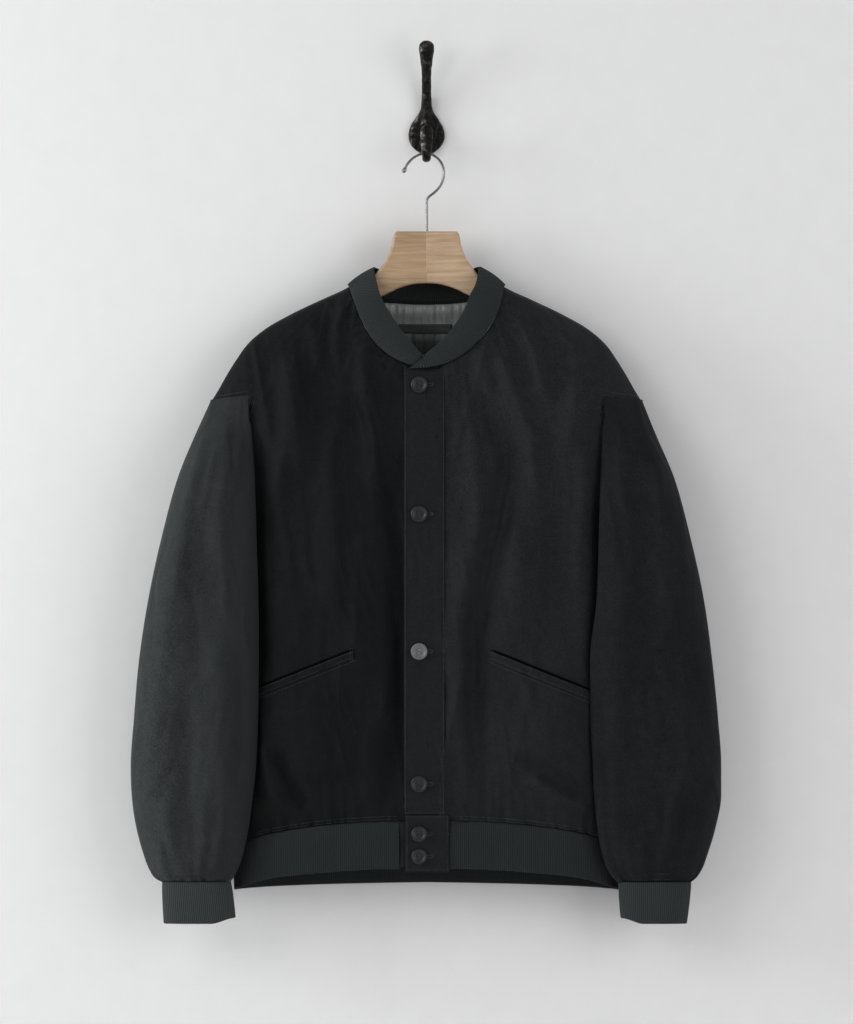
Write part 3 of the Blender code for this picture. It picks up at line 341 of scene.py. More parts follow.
def write_out(shape, mesh):
    """Turn the faces of a finished shape outwards and write it to its mesh."""
    bmesh.ops.recalc_face_normals(shape, faces=shape.faces)
    shape.to_mesh(mesh)
    shape.free()


def solid_of(obj):
    """The plain mesh of an object with its modifiers applied."""
    bpy.context.scene.collection.objects.link(obj)
    graph = bpy.context.evaluated_depsgraph_get()
    mesh = bpy.data.meshes.new_from_object(obj.evaluated_get(graph))
    old = obj.data
    obj.modifiers.clear()
    if isinstance(old, bpy.types.Mesh):
        obj.data = mesh
        bpy.data.meshes.remove(old)
        return obj
    name, home = obj.name, obj.users_collection
    bpy.data.objects.remove(obj)
    made = bpy.data.objects.new(name, mesh)
    home[0].objects.link(made)
    return made


def quads(high, wide, first=0):
    """The faces of a grid of points, row by row."""
    index = first + np.arange(high * wide).reshape(high, wide)
    ring = np.stack([index[:-1, :-1], index[:-1, 1:], index[1:, 1:], index[1:, :-1]], axis=-1)
    return ring.reshape(-1, 4)


def cloth_mesh(name, spots, uvs, faces):
    """A mesh of points in millimetres, with its cloth coordinates."""
    mesh = bpy.data.meshes.new(name)
    mesh.from_pydata((spots * MM).tolist(), [], faces.tolist())
    layer = mesh.uv_layers.new(name="cloth")
    corner = np.empty(len(mesh.loops), np.int32)
    mesh.loops.foreach_get("vertex_index", corner)
    layer.data.foreach_set("uv", uvs[corner].astype(np.float32).ravel())
    return mesh


def shell(name, patches, thick, materials, grown=-1):
    """One thin cloth piece from patches of (points, cloth coordinates in mm, turned)."""
    spots, uvs, faces, count = [], [], [], 0
    for rows, uv, turned in patches:
        ring = quads(*rows.shape[:2], first=count)
        faces.append(ring[:, ::-1] if turned else ring)
        spots.append(rows.reshape(-1, 3))
        uvs.append(uv.reshape(-1, 2))
        count += len(spots[-1])
    mesh = cloth_mesh(name, np.concatenate(spots), np.concatenate(uvs), np.concatenate(faces))
    joined = bmesh.new()
    joined.from_mesh(mesh)
    bmesh.ops.remove_doubles(joined, verts=joined.verts, dist=WELD * MM)
    bmesh.ops.dissolve_degenerate(joined, edges=joined.edges, dist=0.004 * MM)
    joined.to_mesh(mesh)
    joined.free()
    for finish in materials:
        mesh.materials.append(finish)
    obj = bpy.data.objects.new(name, mesh)
    wall = obj.modifiers.new("Thickness", "SOLIDIFY")
    wall.thickness, wall.offset = thick * MM, grown
    wall.material_offset = len(materials) - 1
    wall.use_even_offset = False
    solid_of(obj)
    obj.data.shade_smooth()
    return obj


def arc(rows):
    """Cloth coordinates of a grid: the lengths along its rows and down its columns."""
    wide = np.linalg.norm(np.diff(rows, axis=1), axis=2)
    high = np.linalg.norm(np.diff(rows, axis=0), axis=2)
    u = np.concatenate([np.zeros((len(rows), 1)), np.cumsum(wide, axis=1)], axis=1)
    v = np.concatenate([np.zeros((1, rows.shape[1])), np.cumsum(high, axis=0)], axis=0)
    return np.stack([u, v], axis=-1)


def flat(rows):
    """Cloth coordinates of a panel as it hangs: its x and its distance below the hook."""
    return np.stack([rows[..., X], -rows[..., Z]], axis=-1)


def place(piece, slot_name, *nodes):
    """Every piece rides on the jacket's one body and stands for its nodes. The slot name is not used."""
    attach(piece, "root")
    if nodes:
        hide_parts(*nodes)
    return piece


print("helpers ready")

# %% [markdown]
# ## Materials
# Each real material is a small node tree. Poplin is near black with a fine plain weave and a
# soft sheen on its folds; the rib knit is slate grey and has little loops; the lining is a
# pale sateen. The weave and the loops of the knit are node groups, which their cloths share.

# %% Shared node groups
LOOP_LENGTH = 1.5  # of one loop of the knit, in millimetres


def tree_group(name, inputs, outputs):
    """A shader node group with named sockets. It returns the group and its two ends."""
    group = bpy.data.node_groups.new(name, "ShaderNodeTree")
    for label, kind, value in inputs:
        socket = group.interface.new_socket(label, in_out="INPUT", socket_type=kind)
        if value is not None:
            socket.default_value = value
    for label, kind in outputs:
        group.interface.new_socket(label, in_out="OUTPUT", socket_type=kind)
    start, end = group.nodes.new("NodeGroupInput"), group.nodes.new("NodeGroupOutput")
    start.location, end.location = (-900, 0), (700, 0)
    return group, start, end


def link(tree, source, target):
    tree.links.new(source, target)


def node(tree, kind, **values):
    """A node, with its properties set and its inputs set or linked, by name."""
    made = tree.nodes.new(kind)
    for key, value in values.items():
        socket_name = key.replace("_", " ")
        if hasattr(made, key):
            setattr(made, key, value)
        elif isinstance(value, bpy.types.NodeSocket):
            link(tree, value, made.inputs[socket_name])
        else:
            made.inputs[socket_name].default_value = value
    return made


def maths(tree, operation, *values):
    """The result of one sum over numbers and sockets."""
    made = node(tree, "ShaderNodeMath", operation=operation)
    for socket, value in zip(made.inputs, values):
        if isinstance(value, (int, float)):
            socket.default_value = value
        else:
            link(tree, value, socket)
    return made.outputs[0]


def clamped(tree, value, low=0.0, high=1.0):
    """A value that is kept between two others."""
    return maths(tree, "MINIMUM", maths(tree, "MAXIMUM", value, low), high)


def blend(tree, mask, a, b):
    """A colour from a to b by a mask."""
    made = node(tree, "ShaderNodeMix", data_type="RGBA")
    ends = [s for s in made.inputs if s.type == "RGBA"]
    for socket, value in ((made.inputs[0], mask), (ends[0], a), (ends[1], b)):
        if isinstance(value, (int, float)):
            socket.default_value = value
        elif isinstance(value, tuple):
            socket.default_value = (*value, 1)
        else:
            link(tree, value, socket)
    return next(s for s in made.outputs if s.type == "RGBA")


def own_place(tree):
    """Where a point is on its object."""
    return node(tree, "ShaderNodeTexCoord").outputs["Object"]


def split(tree, vector):
    """The three parts of a vector."""
    return node(tree, "ShaderNodeSeparateXYZ", Vector=vector).outputs


def noise(tree, where, **values):
    """A noise texture, read where a socket says."""
    return node(tree, "ShaderNodeTexNoise", Vector=where, **values).outputs[0]


def weave_group():
    """Plain weave: threads over and under each other, from the cloth coordinates in mm."""
    group, start, end = tree_group(
        "Weave",
        [("Cloth", "NodeSocketVector", None), ("Threads per mm", "NodeSocketFloat", 2.2)],
        [("Height", "NodeSocketFloat"), ("Slub", "NodeSocketFloat")],
    )
    cloth = start.outputs["Cloth"]
    pace = maths(group, "MULTIPLY", start.outputs["Threads per mm"], math.pi)
    parts = split(group, cloth)
    waves = []
    for axis, other in ((0, 1), (1, 0)):
        across = maths(group, "MULTIPLY", parts[axis], pace)
        along = maths(group, "MULTIPLY", parts[other], pace)
        thread = maths(group, "ABSOLUTE", maths(group, "SINE", across))
        over = maths(group, "MULTIPLY", maths(group, "SINE", along), 0.5)
        waves.append(maths(group, "MULTIPLY", thread, maths(group, "ADD", over, 0.5)))
    link(group, maths(group, "MAXIMUM", *waves), end.inputs["Height"])
    link(group, noise(group, cloth, Scale=0.09, Detail=5.0, Roughness=0.6), end.inputs["Slub"])
    return group


def knit_group():
    """Rib knit: columns of little loops in the valleys and on the wales, from the band's
    coordinates in wales across and millimetres along."""
    group, start, end = tree_group(
        "Knit",
        [("Cloth", "NodeSocketVector", None)],
        [("Height", "NodeSocketFloat"), ("Valley", "NodeSocketFloat")],
    )
    across, along, _ = split(group, start.outputs["Cloth"])
    turn = maths(group, "MULTIPLY", across, 2 * math.pi)
    wale = maths(group, "COSINE", turn)
    side = maths(group, "ABSOLUTE", maths(group, "SINE", turn))
    loops = maths(group, "ADD", maths(group, "MULTIPLY", along, 2 * math.pi / LOOP_LENGTH),
                  maths(group, "MULTIPLY", side, 2.2))
    fuzz = noise(group, start.outputs["Cloth"], Scale=1.8, Detail=4.0, Roughness=0.7)
    height = maths(group, "ADD", maths(group, "MULTIPLY", maths(group, "SINE", loops), 0.35),
                   maths(group, "MULTIPLY", fuzz, 0.8))
    link(group, height, end.inputs["Height"])
    link(group, maths(group, "MULTIPLY", maths(group, "SUBTRACT", 1.0, wale), 0.5), end.inputs["Valley"])
    return group


WEAVE, KNIT_LOOPS = weave_group(), knit_group()


def material(name, rough, metallic=0.0, sheen=0.0, sheen_tint=(1, 1, 1), specular=0.5, coat=0.0):
    """A material with its shader's own values set."""
    made = bpy.data.materials.new(name)
    made.use_nodes = True
    shader = made.node_tree.nodes["Principled BSDF"]
    for label, value in (("Roughness", rough), ("Metallic", metallic), ("Sheen Weight", sheen),
                         ("Sheen Roughness", 0.45), ("Sheen Tint", (*sheen_tint, 1)),
                         ("Specular IOR Level", specular), ("Coat Weight", coat)):
        shader.inputs[label].default_value = value
    return made, made.node_tree, shader


def bump(tree, shader, height, strength, distance, **under):
    """Small relief on a shader's surface. `Normal` may give a broader relief under it."""
    made = node(tree, "ShaderNodeBump", Strength=strength, Distance=distance, Height=height, **under)
    link(tree, made.outputs["Normal"], shader.inputs["Normal"])


def coloured(tree, shader, mask, dark, light):
    """Give a shader a base colour from dark to light, by a mask."""
    link(tree, blend(tree, mask, dark, light), shader.inputs["Base Color"])


def cloth_uv(tree):
    """The cloth coordinates that each grid carries."""
    return node(tree, "ShaderNodeUVMap", uv_map="cloth").outputs[0]


# %% Cloth materials
def poplin(name, dark, light, rough, sheen, weave_depth=0.12, ramp=None):
    """Woven cotton: its base wanders between two close darks, and the slubs catch the light."""
    made, tree, shader = material(name, rough, sheen=sheen, sheen_tint=(0.8, 0.9, 0.95), specular=0.04)
    weave = node(tree, "ShaderNodeGroup", node_tree=WEAVE, Cloth=cloth_uv(tree))
    slub, spot = weave.outputs["Slub"], own_place(tree)
    cloud = noise(tree, spot, Scale=9.0, Detail=6.0, Roughness=0.65)
    speck = noise(tree, spot, Scale=620.0, Detail=3.0, Roughness=0.8)
    mask = maths(tree, "ADD", maths(tree, "MULTIPLY", slub, 0.5), maths(tree, "MULTIPLY", cloud, 0.6))
    mask = clamped(tree, maths(tree, "ADD", mask, maths(tree, "MULTIPLY_ADD", speck, 2.2, -1.2)))
    if ramp:  # the cloth grows lighter along this axis, from the first place to the second
        axis, low, high = ramp
        fall = node(tree, "ShaderNodeMapRange", Value=split(tree, spot)[axis], From_Min=low,
                    From_Max=high)
        mask = maths(tree, "MULTIPLY", mask, fall.outputs[0])
    coloured(tree, shader, mask, dark, light)
    grain = maths(tree, "ADD", maths(tree, "MULTIPLY", weave.outputs["Height"], 0.5),
                  maths(tree, "MULTIPLY", slub, 1.2))
    hung = node(tree, "ShaderNodeMapping", Vector=spot, Scale=(1.3, 1, 0.5))
    crumple = noise(tree, hung.outputs[0], Scale=24.0, Detail=5.0, Roughness=0.5, Distortion=0.9,
                    noise_type="RIDGED_MULTIFRACTAL")
    soft = node(tree, "ShaderNodeBump", Strength=0.55, Distance=0.0065, Height=crumple)
    bump(tree, shader, grain, weave_depth, 0.0006, Normal=soft.outputs["Normal"])
    return made


def rib_knit(name, dark, light):
    """Rib knit with little loops: painted shade darkens the valleys between the wales, and painted light
    brightens the tops of the loops.
    """
    made, tree, shader = material(name, 0.92, sheen=0.10, sheen_tint=(0.8, 0.92, 0.95), specular=0.10)
    loops = node(tree, "ShaderNodeGroup", node_tree=KNIT_LOOPS, Cloth=cloth_uv(tree))
    # Painted shade in the valleys, and painted light on the tops of the loops
    shade = maths(tree, "MULTIPLY_ADD", loops.outputs["Valley"], -0.75, 0.75)
    shade = maths(tree, "ADD", shade, maths(tree, "MULTIPLY", loops.outputs["Height"], 0.25))
    coloured(tree, shader, shade, dark, light)
    bump(tree, shader, loops.outputs["Height"], 0.55, 0.0004)
    return made


def toned(tone, *colours):
    """The colours, all made lighter or darker by one tone of painted light or shade."""
    return [tuple(tone * c for c in colour) for colour in colours]


# Each panel is painted lighter or darker by a tone of its own, as painted light and shade,
# and the ramps are for `poplin`
PAINTED_LIGHT_TONES = {"front_right_cloth": 1.27, "front_left_cloth": 2.3, "back_cloth": 1.2,
         "sleeve_right_cloth": 4.2, "sleeve_left_cloth": 1.6}
# The sleeve's ramp is painted light on its outer fold, which faces the light from the left; the fronts'
# ramps make them darker towards the bottom
RAMPS = {"sleeve_right_cloth": (0, -0.17, -0.30), "front_right_cloth": (2, -1.6, -0.2),
         "front_left_cloth": (2, -1.6, -0.2)}
POPLIN = {}
for piece_name, tone in PAINTED_LIGHT_TONES.items():
    ends = toned(tone, (0.0036, 0.0040, 0.0041), (0.0116, 0.0127, 0.0130))
    POPLIN[piece_name] = poplin(f"Poplin of {piece_name}", *ends, 0.7, 0.012 * tone,
                                ramp=RAMPS.get(piece_name))
PLACKET_CLOTH = poplin("Placket poplin", (0.0085, 0.0092, 0.0094), (0.0185, 0.0200, 0.0204), 0.72, 0.02)
# The reverse face is painted near black, as painted shade inside the jacket
REVERSE_IN_PAINTED_SHADE = poplin("Reverse face", (0.010, 0.0108, 0.0106), (0.021, 0.0225, 0.022), 0.7, 0.0)
RIB = {}
# Each band is painted lighter or darker by a tone of its own, as painted light and shade
for piece_name, tone in (("collar_rib_knit", 0.97), ("hem_rib_knit", 0.78), ("cuff_right_knit", 1.45),
                         ("cuff_left_knit", 1.15)):
    ends = toned(tone, (0.0115, 0.0138, 0.0140), (0.037, 0.0428, 0.0428))
    RIB[piece_name] = rib_knit(f"Rib of {piece_name}", *ends)


def sateen():
    """The lining inside the neck: pale, with painted highlights in streaks across its gathers, and
    painted shade that darkens it further down inside the jacket.
    """
    made, tree, shader = material("Sateen lining", 0.36, sheen=0.1, specular=0.55)
    stretch = node(tree, "ShaderNodeMapping", Vector=cloth_uv(tree), Scale=(0.5, 0.06, 1))
    line = noise(tree, stretch.outputs[0], Scale=1.0, Detail=4.0, Roughness=0.6)
    # Painted shade: the lining grows dark further down inside the neck
    height = maths(tree, "MULTIPLY_ADD", split(tree, own_place(tree))[2], 55.0, 12.75)
    # Painted highlight: streaks of gleam across the gathers
    painted_gleam = blend(tree, line, (0.11, 0.118, 0.115), (0.40, 0.42, 0.41))
    coloured(tree, shader, clamped(tree, height, 0.12), (0.008, 0.009, 0.0088), painted_gleam)
    shader.inputs["Anisotropic"].default_value = 0.5
    bump(tree, shader, line, 0.35, 0.0006)
    return made


def thread_material(name, dark, light):
    """Sewing thread: two tones that wind round it."""
    made, tree, shader = material(name, 0.6, sheen=0.2, specular=0.4)
    twist = node(tree, "ShaderNodeTexWave", Vector=own_place(tree), Scale=900.0, Distortion=2.0,
                 bands_direction="DIAGONAL").outputs["Fac"]
    coloured(tree, shader, twist, dark, light)
    bump(tree, shader, twist, 0.4, 0.0002)
    return made


SATEEN = sateen()
THREAD = thread_material("Sewing thread", (0.0085, 0.0094, 0.0097), (0.024, 0.026, 0.0265))
PALE_THREAD = thread_material("Pale thread", (0.16, 0.165, 0.16), (0.34, 0.35, 0.34))
print("cloth materials:", [m.name for m in (*POPLIN.values(), REVERSE_IN_PAINTED_SHADE, *RIB.values(), SATEEN)])

# %% [markdown]
# ## The front and back panels
# A maker cuts two fronts and a back, each with a shoulder that drops past the hanger's tip.
# Each panel is a height field over its outline: columns fan out from the front edge to the
# side, rows run from the neck and shoulder line to the hem seam. The cloth is drawn up in
# gathers where it meets the rib, and it puckers along the collar and armhole seams.

# %% Puckers of the torso
def nearest(line, x, down):
    """How far each place is along a drawn line, and how far it is from it."""
    line = np.array(line, float)
    run = lengths(line)
    spot = np.stack(np.broadcast_arrays(x, down), axis=-1).astype(float)
    best, along = np.full(spot.shape[:-1], np.inf), np.zeros(spot.shape[:-1])
    for a, b, start in zip(line, line[1:], run):
        way = b - a
        share = np.clip((spot - a) @ way / (way @ way), 0, 1)
        far = np.linalg.norm(spot - a - share[..., None] * way, axis=-1)
        along = np.where(far < best, start + share * np.hypot(*way), along)
        best = np.minimum(best, far)
    return along, best


def hem_gather(along, above, pitch=23.0, height=1.7, reach=24.0):
    """The wide gathers where the cloth is drawn on to the rib."""
    drift = along + 5 * np.sin(along / 31) + 3 * np.sin(along / 13)
    return height * np.sin(2 * math.pi * drift / pitch) * np.exp(-((above / reach) ** 2))


arm_down = np.linspace(TIP_DOWN, UNDERARM, 12)
ARM_EDGE = np.stack([follow(ARMHOLE, "down", "x", arm_down), arm_down], axis=-1)
NECK_LINE = {face: np.stack([NECK["x"], NECK[face]], axis=-1) for face in ("front", "back")}


def small_waves(x, down, face):
    """Every pucker of a panel together, as height above its cloth."""
    hem = follow(HEM, "x", face, np.abs(x))
    along, from_neck = nearest(NECK_LINE[face], x, down)
    height = 1.6 if face == "front" else 0.6
    waves = puckers(along, from_neck, 9.5, height, 17, 3) * smooth(from_neck / 3)
    waves = waves + puckers(x, hem - down, 8.5, 1.3, 13, 5) + puckers(x, hem - down, 15, 2.0, 36, 11)
    along, away = nearest(ARM_EDGE, np.abs(x), down)
    waves = waves + puckers(along, away, 9, 0.9, 12, 7) * smooth(away / 2)
    if face == "front":
        for k, edge in enumerate(PLACKET_X):
            waves = waves + puckers(down, np.abs(x - edge), 12, 0.45, 9, 21 + k) * (down > 262)
    waves = waves + 0.55 * wander(x, down, 31 + (face == "back"), 46) + 0.25 * wander(x, down, 41, 17)
    share = 1.0 if face == "front" else 0.5
    lean = x + 0.16 * np.abs(down - 230) * np.sign(x)
    broad, fine = creases(lean, down, 27, 2.6, 131), creases(x - 0.22 * down, down, 15, 1.3, 141)
    waves = waves + share * (broad + fine)
    # More creases fan out from the collar over the chest
    fan = np.arctan2(x, down - 60) * 190
    near = np.exp(-((from_neck / 75) ** 2))
    return waves + creases(fan, down, 11, 3.2, 151) * near * (face == "front")


def torso_surface(x, down, face):
    """The outer face of the front or the back, with its folds and puckers."""
    below, inside = from_edges(x, down)
    free = smooth((below + 2) / 14) * smooth(inside / 12)
    sign, form = (-1, front_y) if face == "front" else (1, back_y)
    return form(x, down, folds=True) + sign * (small_waves(x, down, face) * free + 0.15)


# %% The panels
HEM_SIDE = HEM["front"][-1]
SHARE_TO_SEAM = (ARM_SEAM_DOWN - TIP_DOWN) / (HEM_SIDE - TIP_DOWN)
SHARE_TO_UNDERARM = (UNDERARM - TIP_DOWN) / (HEM_SIDE - TIP_DOWN)
SEAM_ROWS, ARM_ROWS, BODY_ROWS = 22, 50, 120
SEAM_COLUMNS = {"front": 44, "back": 34}  # across the armhole seam
UNDER_RIB = 2.4  # how far the back's cloth runs up under the collar


def hem_waves(x, above, face):
    """How the rib draws a panel in, along Y, at a height above the hem seam."""
    free = smooth((np.abs(x) - 34) / 50) if face == "front" else 1
    waves = hem_gather(x, above) - 1.7 * np.exp(-((above / 40) ** 2))
    return (-1 if face == "front" else 1) * waves * free


def panel_rows(start, side, face):
    """A panel from x = start to its side edge, and its dropped shoulder."""
    neck = (side * NECK_X - start) / (side * TIP_X - start)
    inner = np.sin(np.linspace(0, math.pi / 2, 41)) * neck
    outer = neck + (1 - neck) * np.sin(np.linspace(0, math.pi / 2, 47))[1:]
    across = np.concatenate([inner, outer])
    shares = np.concatenate([
        np.linspace(0, SHARE_TO_SEAM, SEAM_ROWS + 1),
        np.linspace(SHARE_TO_SEAM, SHARE_TO_UNDERARM, ARM_ROWS + 1)[1:],
        np.linspace(SHARE_TO_UNDERARM, 1, BODY_ROWS + 1)[1:],
    ])[:, None]  # fmt: skip
    x_top = start + (side * TIP_X - start) * across
    under_rib = UNDER_RIB * smooth((NECK_X - np.abs(x_top)) / 18) * (face == "back")
    top = np.where(np.abs(x_top) < NECK_X, follow(NECK, "x", face, x_top) - under_rib,
                   follow(SHOULDER, "x", "down", np.abs(x_top)))
    hem = follow(HEM, "x", face, np.abs(start + (side * HEM["x"][-1] - start) * across))
    down = top + (hem - 0.3 - top) * shares
    edge = np.where(down < UNDERARM, follow(ARMHOLE, "down", "x", down),
                    follow(BODY, "down", "half_width", down))
    x = start + (side * edge - start) * across
    waves = hem_waves(x, hem - down, face) * smooth((1 - across) * 6) * (shares > 0.6)
    rows = points(x, torso_surface(x, down, face) + waves, down)
    valley = rows[: SEAM_ROWS + 1, -1]
    share = np.linspace(0, 1, SEAM_ROWS + 1)[:, None]
    outward = 0.5 - 0.5 * np.cos(np.linspace(0, math.pi, SEAM_COLUMNS[face] + 1))
    x_end = TIP_X + (ARM_SEAM_X - TIP_X) * share
    x_in, down_in = np.abs(valley[:, X:Y]), -valley[:, Z:]
    x = side * (x_in + (x_end - x_in) * outward)
    down = down_in + (follow(SHOULDER, "x", "down", x_end) - down_in) * outward
    wedge = points(x, torso_surface(x, down, face), down)
    wedge[:, 0] = valley
    return rows, wedge


def torso_piece(name, start, sides, face):
    patches, holes = [], {}
    for side in sides:
        rows, wedge = panel_rows(start, side, face)
        turned = (side > 0) == (face == "front")
        patches += [(rows, flat(rows), turned), (wedge, flat(wedge), turned)]
        holes[side] = wedge[-1], rows[SEAM_ROWS : SEAM_ROWS + ARM_ROWS + 1, -1]
    piece = shell(name, patches, 1.0, [POPLIN[name], REVERSE_IN_PAINTED_SHADE])
    return place(piece, "poplin", name.removesuffix("_cloth")), holes


front_right, holes_right = torso_piece("front_right_cloth", 15.0, [-1], "front")
front_left, holes_left = torso_piece("front_left_cloth", 14.0, [1], "front")
back, holes_back = torso_piece("back_cloth", 0.0, [-1, 1], "back")
for piece, area, size in ((front_right, 0.142, (0.27, 0.62)), (front_left, 0.128, (0.25, 0.62)),
                          (back, 0.292, (0.54, 0.62))):
    print(piece.name, len(piece.data.polygons), "faces")

# %% [markdown]
# ## The sleeves
# A sleeve is a tube that is set into the armhole at its top and drawn into a cuff at its end.
# It hangs flattened, and it laps a little over the side of the torso. Its section at each
# height comes from two faces and two folds; near the top the tube eases into the armhole's
# own outline, so that the seam stays closed all round.

# %% The sleeves' tables
SLEEVE_FOLDS = {
    "right": table(
        "down outer inner",
        (291, 237, 194), (332, 254.6, 192), (382, 273.4, 189.5), (448, 291, 187.5),
        (514, 305, 185.5), (580, 315, 185.2), (646, 320.7, 186), (695, 324, 188),
        (728, 323, 191.5), (761, 318.5, 196), (794, 309.7, 203), (810.7, 303, 209),
        (819, 297, 213.5), (823, 289, 217),
    ),
    "left": table(
        "down outer inner",
        (291, 237, 195.5), (332, 252.5, 194), (382, 272.3, 192), (448, 289.9, 190),
        (514, 304, 187.6), (580, 313, 180.5), (646, 319.6, 181), (695, 322.9, 183.5),
        (728, 322.9, 185), (761, 317.4, 188.5), (794, 307.5, 194.5), (810.7, 300.9, 200.8),
        (819, 295, 207), (823, 289.5, 211),
    ),
}  # fmt: skip
SLEEVE_DEPTH = table(
    "down front back outer_y inner_y lap",
    (291, -91, -14, -42, -89, 1), (332, -96, -13, -48, -91, 1), (382, -99, -13, -52, -92, 1),
    (448, -102, -13, -54, -93, 1), (580, -104, -12, -56, -94, 1), (728, -104, -13, -58, -93, 1),
    (775, -100, -19, -60, -91, 1), (803, -95, -31, -63, -86, 0.75), (823, -88, -46, -67, -74, 0),
)  # fmt: skip
SLEEVE_END = 823.0
CUFF_GATHERS = 13  # round one sleeve's end
WEARER = {"right": -1, "left": 1}
SLEEVE_CREASES = {
    "right": [
        (11, 5, 0.2, (218, 300), (221, 349), (226, 420), (226, 480)),
        (9, 4.6, 0.2, (236, 305), (256, 382), (268, 448), (284, 540)),
        (14, -5, 0, (244, 400), (250, 500), (252, 620)),
        (12, -6.4, 0.25, (258, 600), (262, 690), (261, 750), (260, 804)),
        (14, 5, 0, (232, 540), (224, 640), (226, 750)),
        (11, 4.6, -0.2, (270, 436), (286, 514), (295, 600), (299, 700)),
        (6, 4.6, 0.2, (286, 730), (280, 775), (274, 815)),
        (5, 3.6, 0, (296, 770), (290, 795), (286, 815)),
        (5, 3.4, 0, (244, 775), (247, 800), (249, 817)),
        (5, 3, 0, (228, 768), (232, 795), (236, 817)),
        (5, -3.2, 0, (285, 780), (282, 800), (280, 817)),
        (9, 3.2, 0, (306, 620), (303, 680), (302, 740)),
        (8, -3, 0, (206, 560), (204, 650), (208, 730)),
        (7, 2.6, 0.3, (204, 330), (206, 360), (212, 400)),
    ],
    "left": [
        (10, 4.4, 0, (214, 297), (216, 371), (217, 430)),
        (8, 4.4, 0.2, (234, 300), (249, 351), (259, 430)),
        (12, 5, 0.2, (254, 345), (270, 400), (280, 480), (288, 560)),
        (14, -5.4, 0, (236, 380), (244, 514), (242, 640)),
        (14, 5, 0, (216, 480), (206, 602), (212, 700)),
        (7, 5.6, 0.3, (300, 664), (282, 700), (268, 745), (261, 806)),
        (7, 5.2, 0.3, (320, 690), (306, 735), (298, 775), (293, 808)),
        (6, -4.6, 0, (285, 715), (277, 765), (272, 813)),
        (5, 3.4, 0, (234, 775), (237, 800), (239, 817)),
        (5, 2.8, 0, (216, 770), (221, 795), (225, 817)),
        (4, -2.6, 0, (262, 786), (262, 802), (262, 817)),
        (16, -4.6, 0, (270, 540), (268, 640), (266, 700)),
        (7, 2.8, 0.2, (300, 560), (306, 620), (308, 670)),
        (8, -3, 0, (196, 600), (194, 680), (200, 760)),
    ],
}
SLEEVE_BACK_CREASES = [
    (14, 4.7, 0.2, (262, 350), (280, 450), (290, 560)),
    (16, -4.6, 0, (240, 420), (248, 560), (250, 700)),
    (12, 4.7, 0, (300, 590), (300, 680), (296, 760)),
    (9, 4.6, 0.2, (262, 700), (266, 760), (268, 812)),
    (7, -4, 0, (286, 740), (283, 780), (280, 815)),
    (6, 3.4, 0, (244, 765), (246, 790), (248, 815)),
    (5, 3, 0, (300, 765), (293, 790), (288, 812)),
]
SET_AT, SET_OVER = (0, 11, 12, 15, 18), (95, 60, 12, 12, 95)
ARMHOLE_STEPS = (0.0, 0.07, 0.22, 0.47, 0.75, 1.0)
LAP_COLUMNS = 22
LAST = 29  # a sleeve's columns run from 0 to this, from the outer fold round to itself


# %% The sleeves
def sleeve_section(hand, share, down, face):
    """A place on the sleeve's tube: share 0 is its outer fold and 1 its inner fold."""
    folds = SLEEVE_FOLDS[hand]
    outer, inner = follow(folds, "down", "outer", down), follow(folds, "down", "inner", down)
    read = {name: follow(SLEEVE_DEPTH, "down", name, down) for name in SLEEVE_DEPTH}
    x = outer + (inner - outer) * share
    middle = read["outer_y"] + (read["inner_y"] - read["outer_y"]) * smooth(share)
    round_off = crown(share / 0.42, 2) * crown((1 - share) / (0.5 - 0.28 * read["lap"]), 2)
    seed = 50 + 7 * (hand == "left")
    uneven = 0.5 * wander(x, down, seed, 42) + 0.25 * wander(x, down, seed + 1, 16)
    uneven = uneven + creases(x - 0.12 * down, down, 21, 3.0, seed + 100)
    uneven = uneven + creases(x, down, 10.5, 2.8, seed + 110) * smooth((down - 690) / 110)
    if face == "front":
        target = read["front"] - relief(SLEEVE_CREASES[hand], x, down) - uneven
    else:
        lapped = (read["inner_y"] + 5 - read["back"]) * smooth((share - 0.42) / 0.42)
        dips = np.minimum(relief(SLEEVE_BACK_CREASES, x, down), 2.5) + uneven
        target = read["back"] + lapped * read["lap"] + dips * smooth((0.6 - share) / 0.3)
    return x, middle + (target - middle) * round_off


